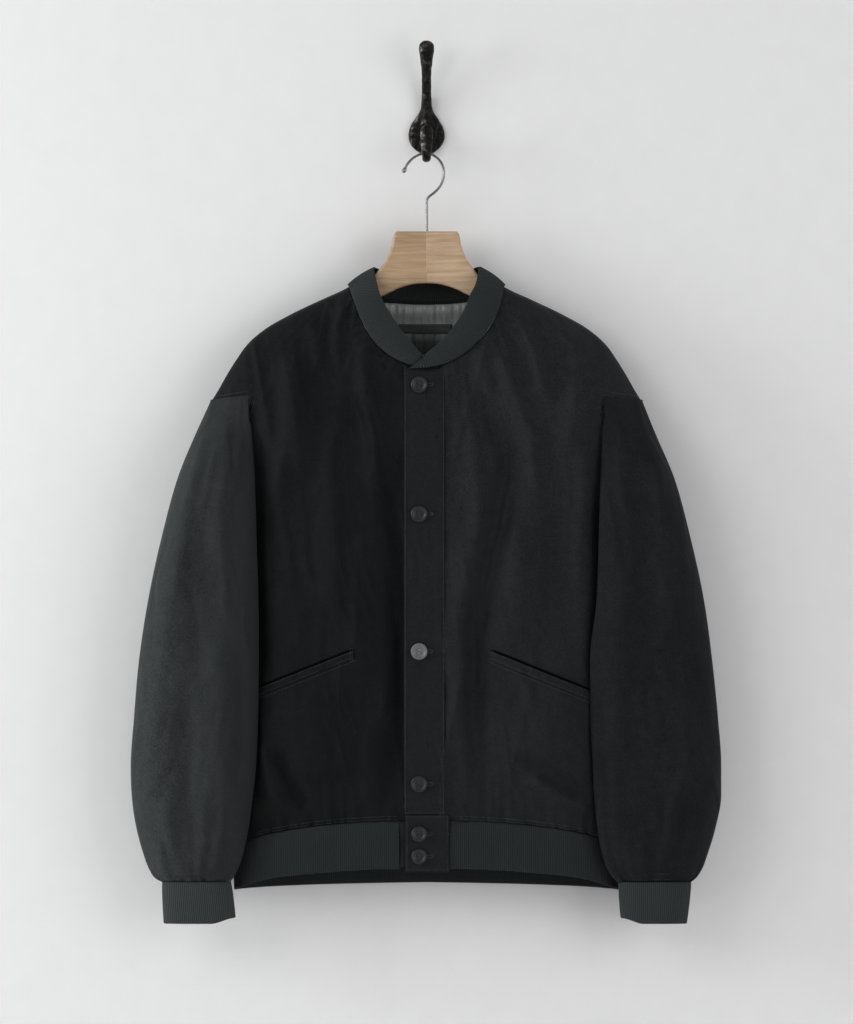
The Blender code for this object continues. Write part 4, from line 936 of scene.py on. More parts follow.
def sleeve_piece(hand):
    side = WEARER[hand]
    seam_f, edge_f = holes_right[side] if side < 0 else holes_left[side]
    seam_b, edge_b = holes_back[side]
    front, back_count = SEAM_COLUMNS["front"], SEAM_COLUMNS["back"]
    step = np.linspace(0, 1, LAP_COLUMNS + 1)

    def along_edge(edge, t):
        share = np.interp(5 * t, np.arange(6), ARMHOLE_STEPS) * (len(edge) - 1)
        return np.stack([np.interp(share, np.arange(len(edge)), edge[:, k]) for k in range(3)], axis=-1)

    at = np.concatenate([np.linspace(0, 11, front + 1), 11 + 5 * step[1:], 16 + 5 * step[1:],
                         21 + 8 * np.linspace(0, 1, back_count + 1)[1:]])
    share = np.concatenate([
        0.5 - 0.5 * np.cos(np.linspace(0, math.pi, front + 1)), 1 - 0.3 * step[1:] ** 1.3,
        0.7 - 0.25 * step[1:], 0.45 * (1 - np.sin(np.linspace(0, math.pi / 2, back_count + 1)[1:])),
    ])
    is_front = np.arange(len(at)) <= front
    ring = np.concatenate([
        seam_f[:0:-1], along_edge(edge_f, step[:-1]), [(edge_f[-1] + edge_b[-1]) / 2],
        along_edge(edge_b, 1 - step[1:]), seam_b[1:],
    ])
    keys = (0, 10, 11, 15, 16, 21, 22, LAST)
    below, before, beside = (0, 0, -0.65), (1.1 * side, -2.0, -0.55), (1.5 * side, 0, -0.8)
    offsets = np.array([below, below, before, before, beside, beside, below, below])
    ring = ring + np.stack([np.interp(at, keys, offsets[:, k]) for k in range(3)], axis=-1)
    ring[-1] = ring[0] = (ring[0] + ring[-1]) / 2
    steps = np.concatenate([np.linspace(0, 0.05, 14)[:-1], np.linspace(0.05, 1, 172)])[:, None]
    start_down = -ring[:, Z]
    down = start_down + (SLEEVE_END - start_down) * steps
    shares = np.broadcast_to(share, down.shape)
    faces = [sleeve_section(hand, shares, down, f) for f in ("front", "back")]
    x, y = (np.where(is_front, f, b) for f, b in zip(*faces))
    starts = [sleeve_section(hand, share, start_down, f) for f in ("front", "back")]
    x0, y0 = (np.where(is_front, f, b) for f, b in zip(*starts))
    fallen = down - start_down
    x = x + (side * ring[:, X] - x0) * (1 - smooth(fallen / 95)) ** 1.2
    y = y + (ring[:, Y] - y0) * (1 - smooth(fallen / np.interp(at, SET_AT, SET_OVER))) ** 1.2
    wave = CUFF_GATHERS * 2 * math.pi * at / LAST
    shrink = np.exp(-(((SLEEVE_END - down) / 26) ** 2))
    pull = 1.8 * (np.sin(wave + 0.8 * np.sin(2 * wave / 5)) - 1) * shrink
    round_mm = at / LAST * 260
    seed = 60 + 9 * (side > 0)
    pull = pull + puckers(round_mm, SLEEVE_END - down, 8.2, 1.0, 15, seed)
    pull = pull + puckers(round_mm, fallen, 9.5, 0.6, 11, seed + 2) * smooth(fallen / 2)
    seam_x = follow(SLEEVE_FOLDS[hand], "down", "outer", down) - x
    pull = pull + puckers(down, seam_x, 7.5, 0.8, 9, seed + 4) * smooth((down - 640) / 60)
    out = np.sign(y + 67) * np.minimum(1, np.abs(y + 67) / 12)
    y = y + pull * out
    rows = points(side * x, y, down)
    # One more row turns the seam in: up under the shoulder's cloth, and inwards where it laps
    tuck = ring + np.array([0, 0, 2.2]) * np.interp(at, (10, 11, 21, 22), (1, 0.1, 0.1, 1))[:, None]
    tuck[:, Y] += np.where(is_front, 1.5, -1.2) * np.interp(at, (10, 11, 20, 21), (1, 0, 0, 1))
    lap = np.interp(at, (10.2, 11, 15, 16), (0, 1, 1, 0))
    tuck = tuck + lap[:, None] * np.array([-side * 1.6, 1.9, 0])
    rows = np.concatenate([tuck[None], rows])
    rows[:, -1] = rows[:, 0]
    name = f"sleeve_{hand}"
    piece = shell(f"{name}_cloth", [(rows, arc(rows), side < 0)], 1.3,
                  [POPLIN[f"{name}_cloth"], REVERSE_IN_PAINTED_SHADE], grown=1)
    place(piece, "poplin", name)
    return piece, rows


sleeves = {hand: sleeve_piece(hand) for hand in WEARER}
print("sleeves:", [len(s[0].data.polygons) for s in sleeves.values()])

# %% [markdown]
# ## The rib-knit bands
# Collar, hem and cuffs are rib knit folded double: fine upright wales between narrow valleys,
# with a soft rounded fold at the free edge. One function makes all three. It takes a surface
# from the sewn seam to the free edge, gives it two faces joined by the fold, and raises the
# wales along its own normal, so that they turn with the band.

# %% Rib bands
RIB_PITCH = 2.1  # from one wale to the next
WALE = 0.22  # how far a wale stands above the middle of the knit
KNIT = 2.4  # the thickness of a band, folded
COLUMNS_A_WALE = 6


def band(name, seam, edge, way, out, bulge, rows=10, closed=False, seed=0):
    """A folded rib band. `seam` and `edge` are matching lines of points, `way` turns its
    normal outwards and `out` moves its middle along that normal."""
    run = lengths((seam + edge) / 2)
    wales = round(run[-1] / RIB_PITCH)
    at = np.linspace(0, run[-1], wales * COLUMNS_A_WALE + 1)
    lines = [np.stack([np.interp(at, run, line[:, k]) for k in range(3)], axis=-1)
             for line in (seam, edge)]
    v = np.linspace(0, 1, rows + 1)[:, None, None]
    middle = lines[0] + (lines[1] - lines[0]) * v
    du, dv = np.gradient(middle, axis=1), np.gradient(middle, axis=0)
    if closed:
        du[:, 0] = du[:, -1] = (du[:, 0] + du[:, -1]) / 2
    normal = way * np.cross(du, dv)
    normal /= np.linalg.norm(normal, axis=-1, keepdims=True)
    dv /= np.linalg.norm(dv, axis=-1, keepdims=True)
    u = at / run[-1] * wales
    sway = 0.18 * wander(at, 0 * at, 71 + seed, 60)
    high = np.linalg.norm(lines[1] - lines[0], axis=-1)
    wale = WALE * np.cos(2 * math.pi * u) * (1 + 0.15 * wander(at, 0 * at, 72 + seed, 25))
    lift = bulge * np.sin(math.pi * v[..., 0]) + out + sway * v[..., 0]
    ease = smooth(v[..., 0] * rows / 1.5)
    half = KNIT / 2 - WALE - 0.25 * (1 - ease)
    front = middle + normal * (lift + half + wale * (0.35 + 0.65 * ease))[..., None]
    behind = (middle + normal * (lift - half + wale * 0.6)[..., None])[::-1]
    turn = np.linspace(0, math.pi, 6)[1:-1, None]
    last = middle[-1] + normal[-1] * lift[-1][:, None]
    deep = (half[-1] + wale)[None]
    outwards, onwards = deep * np.cos(turn), 0.95 * deep * np.sin(turn)
    fold = last + (normal[-1] * outwards[..., None] + dv[-1] * onwards[..., None])
    grid = np.concatenate([front, fold, behind, front[:1]])
    share = v[:, 0, 0]
    length = np.concatenate([share, [1 + 0.02 * k for k in range(1, 5)], 1.1 + share, [2.2]])
    uv = np.stack(np.broadcast_arrays(u[None, :], length[:, None] * high[None, :]), axis=-1)
    return closed_band(name, grid, uv, way < 0, RIB[name])


def closed_band(name, grid, uv, turned, finish):
    """A closed band from one grid. Its two ends are filled."""
    ring = quads(*grid.shape[:2])
    mesh = cloth_mesh(name, grid.reshape(-1, 3), uv.reshape(-1, 2), ring[:, ::-1] if turned else ring)
    shape = bmesh.new()
    shape.from_mesh(mesh)
    bmesh.ops.remove_doubles(shape, verts=shape.verts, dist=0.03 * MM)
    rim = [e for e in shape.edges if e.is_boundary]
    if rim:
        bmesh.ops.holes_fill(shape, edges=rim, sides=0)
    write_out(shape, mesh)
    mesh.materials.append(finish)
    mesh.shade_smooth()
    return put(name, mesh)


# %% The hem rib
HEM_RIB_X = (-30.1, 26.0)  # where the band starts and ends at the tabs


def hem_lines():
    side_x = HEM["x"][-1]
    lines = []
    for share in (0, 1):
        fronts = {}
        for side, start in ((-1, HEM_RIB_X[0]), (1, HEM_RIB_X[1])):
            x = start + (side * side_x - start) * np.sin(np.linspace(0, math.pi / 2, 90))
            top = follow(HEM, "x", "front", np.abs(x))
            down = top + (follow(HEM, "x", "front_edge", np.abs(x)) - top) * share
            waves = 0.5 * wander(x, 0 * x, 81, 40) * share
            fronts[side] = points(x, front_y(x, down) + 0.8 + waves, down)
            fronts[side][-1, Y] = HANG_Y
        x = side_x * np.sin(np.linspace(-math.pi / 2, math.pi / 2, 180))
        top = follow(HEM, "x", "back", np.abs(x))
        down = top + (follow(HEM, "x", "back_edge", np.abs(x)) - top) * share
        behind = points(x, back_y(x, down) - 0.8, down)
        lines.append(np.concatenate([fronts[-1], behind[1:-1], fronts[1][::-1]]))
    return lines


hem_seam, hem_edge = hem_lines()
hem_rib = band("hem_rib_knit", hem_seam, hem_edge, 1, -KNIT / 2, 0.6, seed=1)
place(hem_rib, "rib_knit", "hem_rib")

# %% The cuffs
CUFF_TOP, CUFF_END = 823.3, 868.0
CUFF = {
    "right": table("down outer inner front back", (823.3, 288.5, 217, -88, -46),
                   (845, 288, 214.5, -88, -46), (868, 286.5, 212, -87, -47)),
    "left": table("down outer inner front back", (823.3, 289, 213, -88, -46),
                  (845, 287.5, 214, -88, -46), (868, 284, 215.5, -87, -47)),
}  # fmt: skip


def cuff_line(hand, down):
    turn = np.linspace(0, 2 * math.pi, 241)
    outer, inner, front, behind = (follow(CUFF[hand], "down", name, down)
                                   for name in ("outer", "inner", "front", "back"))
    across, deep = np.cos(turn), np.sin(turn)
    x = (outer + inner) / 2 + (outer - inner) / 2 * np.sign(across) * np.abs(across) ** 0.75
    y = (front + behind) / 2 + (front - behind) / 2 * np.sign(deep) * np.abs(deep) ** 0.75
    slant = 6.0 * (1 - smooth((x - inner) / (outer - inner) * 3)) * (down - CUFF_TOP) / 45
    line = points(WEARER[hand] * x, y, down - slant)
    line[-1] = line[0]
    return line


for hand, side in WEARER.items():
    cuff = band(f"cuff_{hand}_knit", cuff_line(hand, CUFF_TOP), cuff_line(hand, CUFF_END), side,
                KNIT / 2, 0.4, closed=True, seed=3 + side)
    place(cuff, "rib_knit", f"cuff_{hand}")

# %% The collar
COLLAR = table(
    "seam_x seam_down edge_x edge_down lift",
    (5, 258.6, 10, 255, 0.2), (-16.5, 256.6, -4, 246, 0.3), (-40, 246.4, -16.5, 232, 0.4),
    (-56, 232, -29, 216.7, 0.6), (-70, 210, -40.5, 199, 0.6), (-79, 188, -49.5, 183, 0.6),
    (-84.2, 173.5, -54.5, 168, 0.6), (-86, 169.2, -58, 150.4, 0.6),
)  # fmt: skip
COLLAR_BACK = table("seam_x edge_x edge_down", (-81, -54, 150), (-66, -46, 151), (-34, -24, 153),
                    (0, 0, 154), (34, 24, 152.5), (66, 46, 150), (81, 54, 149))  # fmt: skip
COLLAR_TOP = table(
    "seam_x seam_down edge_x edge_down lift",
    (86, 169.2, 58, 148.4, 0.6), (84.2, 173.5, 55.5, 163, 0.8), (78, 198, 48, 180, 0.9),
    (67.7, 216.7, 42, 195.5, 0.8), (52.3, 234.3, 29, 215.6, 0.8), (34.7, 248, 15, 232, 1.4),
    (18.7, 255.5, 5, 240, 3.0), (1.1, 259.3, -1.6, 245.4, 3.4), (-19.3, 260.6, -2.8, 246.4, 3.4),
)  # fmt: skip


def collar_lines(count=420):
    """The collar's sewn line and its free edge, from its under end round the neck."""
    stations = []
    for part in (COLLAR, COLLAR_TOP):
        for seam_x, seam_down, free_x, free_down, lift in zip(*part.values()):
            stations.append((seam_x, front_y(seam_x, seam_down) - lift, seam_down - 1,
                             free_x, front_y(free_x, free_down) - lift, free_down))
        if part is COLLAR:
            for seam_x, free_x, free_down in zip(*COLLAR_BACK.values()):
                seam_down = follow(NECK, "x", "back", seam_x)
                stations.append((seam_x, back_y(seam_x, seam_down) + 0.4, seam_down - 1,
                                 free_x, back_y(free_x, free_down + 14) - 1, free_down))
    stations = np.array([[float(v) for v in row] for row in stations])
    run = lengths(stations[:, :3])
    line = dict(zip(("sx", "sy", "sd", "ex", "ey", "ed"), stations.T), run=run)
    at = np.linspace(0, run[-1], count)
    return (points(*(follow(line, "run", name, at) for name in names))
            for names in (("sx", "sy", "sd"), ("ex", "ey", "ed")))


collar_seam, collar_edge = collar_lines()
collar = band("collar_rib_knit", collar_seam, collar_edge, -1, KNIT / 2, 1.6, rows=14, seed=2)
place(collar, "rib_knit", "collar_rib")
print("bands:", [len(o.data.polygons) for o in (hem_rib, collar)])

# %% [markdown]
# ## Placket, tabs and pocket welts
# These are flat strips sewn on to the fronts. Each is a grid laid over the panel's own
# surface, a little proud of it, and it rolls down at its edges, where a turned hem would be.

# %% Strips
TAB_X, UNDER_TAB_X = (-23.3, 25.3), (-29.5, 14.0)
TAB_TOP, TAB_BOTTOM = 749.0, 812.0
PROUD = 2.5  # how far the placket and the tab stand before the flat front


def strip(name, x_range, top, bottom, proud, thick, rows, seed, low_right=0.0):
    """A flat band on the front; `top` and `bottom` give its ends at any x."""
    x = np.linspace(*x_range, 40)
    share = np.linspace(0, 1, rows + 1)[:, None]
    down = top(x) + (bottom(x) - top(x)) * share
    spread = np.broadcast_to(x, down.shape)
    inset = np.minimum(spread - x_range[0], x_range[1] - spread)
    ends = np.minimum(down - top(x), bottom(x) - down)
    roll = 0.8 * (1 - crown(np.minimum(inset, ends) / 1.3, 2))
    soft = 0.3 * wander(spread, down, seed, 30) + puckers(down, inset - 3, 11, 0.35, 5, seed + 2)
    flush = low_right * smooth((spread - x_range[0]) / (x_range[1] - x_range[0]))
    y = front_y(spread, down) - proud + roll + flush - soft * smooth(inset / 2)
    rows_made = points(spread, y, down)
    return shell(name, [(rows_made, flat(rows_made), True)], thick, [PLACKET_CLOTH])


def level(value):
    """An end that is straight across."""
    return lambda x: np.full_like(x, value)


placket = strip("placket_cloth", PLACKET_X, lambda x: follow(NECK, "x", "front", x) + 2.6,
                level(TAB_TOP - 0.3), PROUD, 1.4, 200, 91, low_right=0.9)
tab_left = strip("tab_left_cloth", TAB_X, level(TAB_TOP), level(TAB_BOTTOM), PROUD, 1.5, 34, 95)
tab_right = strip("tab_right_cloth", UNDER_TAB_X, lambda x: follow(HEM, "x", "front", np.abs(x)) + 0.3,
                  level(TAB_BOTTOM - 5), 0.1, 1.2, 26, 97)
for piece, size, on in ((placket, (0.047, 0.494), front_left), (tab_left, (0.05, 0.065), hem_rib),
                        (tab_right, (0.045, 0.053), hem_rib)):
    place(piece, "poplin", piece.name.removesuffix("_cloth"))

# %% Pocket welts
POCKETS = {
    "right": {"inner": (-80.0, 568.0), "outer": (-203.0, 617.0), "width": 9.5},
    "left": {"inner": (69.5, 568.5), "outer": (200.0, 621.0), "width": 10.5},
}


def on_pocket(hand, share, drop, proud):
    """A place on the welt, by its share of the way out and its drop below the opening."""
    (x0, down0), (x1, down1) = POCKETS[hand]["inner"], POCKETS[hand]["outer"]
    x, down = np.broadcast_arrays(x0 + (x1 - x0) * share, down0 + (down1 - down0) * share + drop)
    y = np.minimum(torso_surface(x, down, "front"), torso_surface(x, down + 4, "front") + 0.6)
    return points(x, y - proud, down)


# A near-black finish for the painted shadow in the pockets' openings
MOUTH_SHADOW = poplin("Pocket mouth", (0.0008, 0.0009, 0.0009), (0.0016, 0.0017, 0.0017), 0.95, 0.0)
for hand, side in WEARER.items():
    share, width = np.linspace(0, 1, 70), POCKETS[hand]["width"]
    drop = np.linspace(0, width, 14)[:, None]
    inset = np.minimum(drop, width - drop)
    rise = 0.35 + 0.85 * crown(inset / 1.6, 2) + 0.25 * wander(share * 130, drop, 101 + side, 18)
    rows = on_pocket(hand, share, drop, rise)
    welt = shell(f"pocket_welt_{hand}_cloth", [(rows, flat(rows), side > 0)], 0.9,
                 [POPLIN[f"front_{hand}_cloth"]])
    place(welt, "poplin", f"pocket_welt_{hand}")
    # A near-black strip over the welt is the painted shadow in the pocket's opening, a dark line
    along, drop = np.linspace(-0.004, 1, 80), np.linspace(-2.3, 0.7, 4)[:, None]
    rows = on_pocket(hand, along, drop * smooth((along + 0.004) * 30), 0.9)
    mouth = place(shell(f"pocket_mouth_{hand}", [(rows, flat(rows), side > 0)], 0.4, [MOUTH_SHADOW]), "poplin")

print("strips:", placket.name, tab_left.name, tab_right.name)

# %% [markdown]
# ## Lining and hanging loop
# Inside the neck the pale sateen face of the jacket shows. It is gathered to the collar, so it
# stands in fine upright puckers, and a flat dark loop of tape is sewn on to it at both ends.

# %% Lining and loop
LINING_X, LINING_END = 92, 330
LOOP_X, LOOP_DOWN = (-31, 28), (209.6, 219.7)


def lining_grid():
    x = np.linspace(-LINING_X, LINING_X, 110)
    share = np.linspace(0, 1, 50)[:, None]
    top = follow(NECK, "x", "back", np.clip(x, -NECK_X, NECK_X)) + 1.2 + 10 * np.abs(x / LINING_X) ** 3
    down = top + (LINING_END - top) * share
    spread = np.broadcast_to(x, down.shape)
    fall = down - top
    gathers = puckers(spread, fall, 6.5, 1.0, 26, 111) + puckers(spread, fall, 17, 1.1, 60, 113)
    forward = 3.4 + 2.4 * np.exp(-(((fall - 8) / 7) ** 2)) + 1.1 * gathers * smooth(fall / 3)
    return points(spread, back_y(spread, down) - forward, down)


rows = lining_grid()
lining = shell("back_lining_cloth", [(rows, flat(rows), True)], 0.8, [SATEEN])
place(lining, "lining", "back_lining")
x, down = np.broadcast_arrays(np.linspace(*LOOP_X, 50), np.linspace(*LOOP_DOWN, 12)[:, None])
inset = np.minimum(np.minimum(x - LOOP_X[0], LOOP_X[1] - x),
                   np.minimum(down - LOOP_DOWN[0], LOOP_DOWN[1] - down))
roll = 0.5 * (1 - crown(inset / 1.2, 2)) + 0.2 * wander(x, down, 121, 14)
rows = points(x, back_y(x, down) - 6.3 + roll, down)
# The tape is painted lighter than a dark tape, as painted light: it hangs in shade inside the neck
LOOP_TAPE_PAINTED_LIGHT = poplin("Loop tape", (0.042, 0.050, 0.048), (0.088, 0.101, 0.098), 0.6, 0.06, 0.25)
loop = shell("hanger_loop_cloth", [(rows, flat(rows), True)], 0.9, [LOOP_TAPE_PAINTED_LIGHT])
place(loop, "loop_tape", "hanger_loop")
print("lining and loop made")

# %% [markdown]
# ## Buttons
# Six four-hole buttons, turned with a raised rim and a hollow face. The profile is spun round
# the button's axis, the thread holes are cut through, and thread crosses them in two bars.
# The third button is painted a brighter grey than the others, with pale thread, as a painted reflection.

# %% Buttons
BUTTON_X = -8.0
BUTTONS = [  # distance below the hook, width
    (277.2, 18.4), (419.0, 18.4), (569.8, 18.4), (715.0, 18.4), (769.8, 17.2), (794.8, 17.2),
]
PAINTED_REFLECTION_BUTTON = 3
HOLE_AT = 1.9  # of a thread hole from the button's middle, both ways
SIDES = 64  # of a button, round its rim


def horn(name, dark, light, rough, coat):
    """Clouded horn, slightly uneven and with a thin polish."""
    made, tree, shader = material(name, rough, specular=0.3, coat=coat)
    cloud = noise(tree, own_place(tree), Scale=160.0, Detail=6.0, Roughness=0.6, Distortion=1.5)
    coloured(tree, shader, cloud, dark, light)
    bump(tree, shader, cloud, 0.15, 0.0003)
    return made


HORN = horn("Horn", (0.0045, 0.0048, 0.005), (0.021, 0.0222, 0.0226), 0.36, 0.05)
# The third button's horn is painted brighter, as a painted reflection
PAINTED_REFLECTION_HORN = horn("Bright horn", (0.055, 0.057, 0.057), (0.17, 0.174, 0.174), 0.3, 0.25)


def bored(obj, places, radius, depth, sides):
    """Cut holes along Y through an object. What cuts them comes back, to be removed later."""
    shape = bmesh.new()
    for place_at in places:
        made = bmesh.ops.create_cone(shape, cap_ends=True, segments=sides, radius1=radius * MM,
                                     radius2=radius * MM, depth=depth * MM)["verts"]
        for vert in made:
            x, y, z = (c * MM for c in place_at)
            vert.co = Vector((vert.co.x + x, vert.co.z + y, vert.co.y + z))
    mesh = bpy.data.meshes.new("drill")
    write_out(shape, mesh)
    drill = put("drill", mesh)
    cut = obj.modifiers.new("Holes", "BOOLEAN")
    cut.object, cut.operation = drill, "DIFFERENCE"
    return drill


def turned_button(name, across, place_at, finish):
    """A dish spun round its own axis, with four holes cut through."""
    r = across / 2
    profile = [(0, 1.9), (3.6, 1.85), (r - 3.7, 1.95), (r - 3.1, 2.3), (r - 2.5, 2.75), (r - 1.7, 3.0),
               (r - 0.9, 2.95), (r - 0.3, 2.55), (r - 0.02, 1.9), (r - 0.1, 1.2), (r - 0.8, 0.5),
               (r - 2.0, 0.1), (0, 0)]
    turn = np.linspace(0, 2 * math.pi, SIDES + 1)[:-1]
    spots = [(0, -profile[0][1], 0)]
    for radius, height in profile[1:-1]:
        spots += [(radius * math.cos(a), -height, radius * math.sin(a)) for a in turn]
    spots.append((0, 0, 0))
    sides = [(k, (k + 1) % SIDES) for k in range(SIDES)]
    last = 1 + SIDES * (len(profile) - 3)  # the first point of the last ring
    faces = [(0, 1 + n, 1 + k) for k, n in sides]
    for a in range(1, last, SIDES):
        b = a + SIDES
        faces += [(a + k, a + n, b + n, b + k) for k, n in sides]
    faces += [(last + k, last + n, len(spots) - 1) for k, n in sides]
    mesh = bpy.data.meshes.new(name)
    mesh.from_pydata([tuple((np.array(p) + place_at) * MM) for p in spots], [], faces)
    shape = bmesh.new()
    shape.from_mesh(mesh)
    write_out(shape, mesh)
    mesh.materials.append(finish)
    obj = bpy.data.objects.new(name, mesh)
    x, y, z = place_at
    holes = [(x + dx, y - 1, z + dz) for dx in (-HOLE_AT, HOLE_AT) for dz in (-HOLE_AT, HOLE_AT)]
    drill = bored(obj, holes, 0.95, 10, 20)
    solid_of(obj)
    bpy.data.objects.remove(drill)
    obj.data.shade_smooth()
    obj.data.set_sharp_from_angle(angle=math.radians(50))
    return obj


button_places = []
for number, (down, across) in enumerate(BUTTONS, 1):
    reach = down + np.linspace(-18.4, 18.4, 5) / 2
    y = float(front_y(BUTTON_X, reach).min()) - PROUD - 0.2
    button_places.append((BUTTON_X, y, -down))
    piece = turned_button(f"button_{number}_turned", across, button_places[-1],
                          PAINTED_REFLECTION_HORN if number == PAINTED_REFLECTION_BUTTON else HORN)
    place(piece, "buttons", f"button_{number}")
print("buttons at", [tuple(round(v) for v in p) for p in button_places])

# %% [markdown]
# ## Stitches
# Sewing repeats one small shape along a line, which is what Geometry Nodes do best. The tree
# below takes a curve on the cloth, spaces points along it and lays one small oval stitch at
# each, turned along the curve or across it. Then it becomes a plain mesh.

# %% The stitch tree
WOBBLE = 0.12  # how unevenly the stitches point
STITCH_SEED = 4


def stitch_tree():
    """The tree that lays stitches along a curve."""
    tree = bpy.data.node_groups.new("Stitches", "GeometryNodeTree")
    tree.interface.new_socket("Geometry", in_out="INPUT", socket_type="NodeSocketGeometry")
    for label, kind, value in (("Spacing", "Float", 0.0028), ("Length", "Float", 0.0022),
                               ("Radius", "Float", 0.0003), ("Turn", "Float", 0.0),
                               ("Seed", "Int", STITCH_SEED), ("Thread", "Material", None)):
        socket = tree.interface.new_socket(label, in_out="INPUT", socket_type=f"NodeSocket{kind}")
        if value is not None:
            socket.default_value = value
    tree.interface.new_socket("Geometry", in_out="OUTPUT", socket_type="NodeSocketGeometry")
    given, end = tree.nodes.new("NodeGroupInput").outputs, tree.nodes.new("NodeGroupOutput")
    spaced = node(tree, "GeometryNodeResampleCurve", mode="LENGTH", Curve=given["Geometry"],
                  Length=given["Spacing"])
    oval = node(tree, "GeometryNodeMeshUVSphere", Segments=6, Rings=3, Radius=1.0)
    half = maths(tree, "MULTIPLY", given["Length"], 0.5)
    size = node(tree, "ShaderNodeCombineXYZ", X=given["Radius"], Y=given["Radius"], Z=half)
    formed = node(tree, "GeometryNodeTransform", Geometry=oval.outputs["Mesh"], Scale=size.outputs[0])
    tangent = node(tree, "GeometryNodeInputTangent")
    turned = node(tree, "ShaderNodeVectorRotate", rotation_type="Y_AXIS", Vector=tangent.outputs[0],
                  Angle=given["Turn"])
    wobble = node(tree, "FunctionNodeRandomValue", data_type="FLOAT_VECTOR", Min=(-WOBBLE,) * 3,
                  Max=(WOBBLE,) * 3, Seed=given["Seed"])
    aim = node(tree, "ShaderNodeVectorMath", operation="ADD")
    link(tree, turned.outputs[0], aim.inputs[0])
    link(tree, wobble.outputs["Value"], aim.inputs[1])
    align = node(tree, "FunctionNodeAlignRotationToVector", axis="Z", Vector=aim.outputs[0])
    laid = node(tree, "GeometryNodeInstanceOnPoints", Points=spaced.outputs[0],
                Instance=formed.outputs[0], Rotation=align.outputs[0])
    real = node(tree, "GeometryNodeRealizeInstances", Geometry=laid.outputs[0])
    threaded = node(tree, "GeometryNodeSetMaterial", Geometry=real.outputs[0], Material=given["Thread"])
    link(tree, threaded.outputs[0], end.inputs[0])
    return tree


STITCHES = stitch_tree()
SOCKETS = {item.name: item.identifier for item in STITCHES.interface.items_tree
           if item.in_out == "INPUT"}


def sew(name, lines, thread=THREAD, *, spacing, length, radius=0.27, turn=0.0):
    """Stitches along lines of points, as one plain mesh. Its sizes are in millimetres."""
    curve = bpy.data.curves.new(name, "CURVE")
    curve.dimensions = "3D"
    for line in lines:
        spline = curve.splines.new("POLY")
        spline.points.add(len(line) - 1)
        spline.points.foreach_set("co", np.c_[np.asarray(line) * MM, np.ones(len(line))].ravel())
    obj = bpy.data.objects.new(name, curve)
    maker = obj.modifiers.new("Stitches", "NODES")
    maker.node_group = STITCHES
    for label, value in (("Spacing", spacing * MM), ("Length", length * MM), ("Radius", radius * MM),
                         ("Turn", turn), ("Seed", STITCH_SEED), ("Thread", thread)):
        maker[SOCKETS[label]] = value
    piece = solid_of(obj)
    piece.data.shade_smooth()
    return place(piece, "poplin")


def on_face(face, x, down, proud, waves=0):
    """A line that stands this far proud of a panel."""
    x, down = np.broadcast_arrays(x, down)
    return points(x, torso_surface(x, down, face) + (-proud if face == "front" else proud) + waves, down)


def on_strip(x, down, proud):
    """A line on the placket or the tab, this far before the flat front."""
    x, down = np.broadcast_arrays(np.asarray(x, float), np.asarray(down, float))
    return points(x, front_y(x, down) - proud, down)


# %% Sew the seams
t = np.linspace(0, 1, 160)
down = 265 + (TAB_TOP - 3 - 265) * t
lines = [on_strip(PLACKET_X[1] - 1.6, down, 1.8), on_strip(PLACKET_X[0] + 1.8, down, 2.7)]
lines += [on_strip(x, 751 + 59 * t, PROUD + 0.15) for x in (TAB_X[0] + 2, TAB_X[1] - 2)]
lines += [on_strip(-22 + 45 * t if down > TAB_TOP else -23 + 42 * t, down, PROUD + 0.15)
          for down in (746.8, 751.2, 809.6)]
sew("placket_stitching", lines, spacing=2.6, length=2.1)

lines = []
for hand in WEARER:
    width = POCKETS[hand]["width"]
    for drop in (1.5, width - 1.5):
        lines.append(on_pocket(hand, np.linspace(0.012, 0.9, 90), drop, 1.25))
    for share in (0.01, 0.028):
        lines.append(on_pocket(hand, np.full(12, share), np.linspace(-2, width + 2, 12), 1.2))
    lines.append(on_pocket(hand, np.linspace(-0.01, 0.9, 90), width + 3.0, 0.1))
sew("pocket_stitching", lines, spacing=2.4, length=2.0)

lines = []
for side in (-1, 1):
    for off in (1.8, 6.5):
        down = np.linspace(ARM_SEAM_DOWN + off * 0.6, UNDERARM - 6, 90)
        x = side * (follow(ARMHOLE, "down", "x", down) - off)
        x_arm = np.linspace(197, 233, 30)
        down_arm = 291 + 6 * (x_arm - 197) / 40 - off
        lines += [on_face("front", x, down, 0.1), on_face("front", side * x_arm, down_arm, 0.1),
                  on_face("back", side * x_arm, down_arm, 0.1), on_face("back", x, down, 0.1)]
sew("armhole_stitching", lines, spacing=2.5, length=2.0)

lines = []
for off in (1.8, 5.2):
    for face, start in (("front", 33), ("back", 0)):
        for side in (-1, 1):
            x = side * np.linspace(start, 205, 260)
            down = follow(HEM, "x", face, np.abs(x)) - 0.3 - off
            lines.append(on_face(face, x, down, 0.15, hem_waves(x, off + 0.3, face)))
sew("hem_stitching", lines, spacing=2.5, length=2.0)

lines = []
for hand, (_, rows) in sleeves.items():
    side = WEARER[hand]
    centre = rows.mean(axis=1, keepdims=True)
    for back_rows in (2, 4):
        line = rows[-back_rows]
        out = line - centre[-back_rows]
        out[:, Z] = 0
        lines.append(line + 1.35 * out / np.linalg.norm(out, axis=1, keepdims=True))
    lines.append(rows[60:-4, 0] + np.array([side * 1.3, 0, 0]))
    lines.append(rows[60:-4, 3] + np.array([side * 0.7, -1.2, 0]))
sew("sleeve_stitching", lines, spacing=2.6, length=2.0)

x = np.linspace(-66, 66, 130)
lines = []
for off in (4.0, 9.0):
    down = follow(NECK, "x", "back", x) + 7 + off
    lines.append(points(x, back_y(x, down) - 4.3, down))
sew("lining_stitching", lines, PALE_THREAD, spacing=2.6, length=2.1)
down = np.linspace(210.5, 218.8, 8)
lines = [points(x, back_y(x, down) - 6.5, down) for x in (-29.0, 26.2)]
sew("loop_stitching", lines, spacing=1.6, length=1.3)

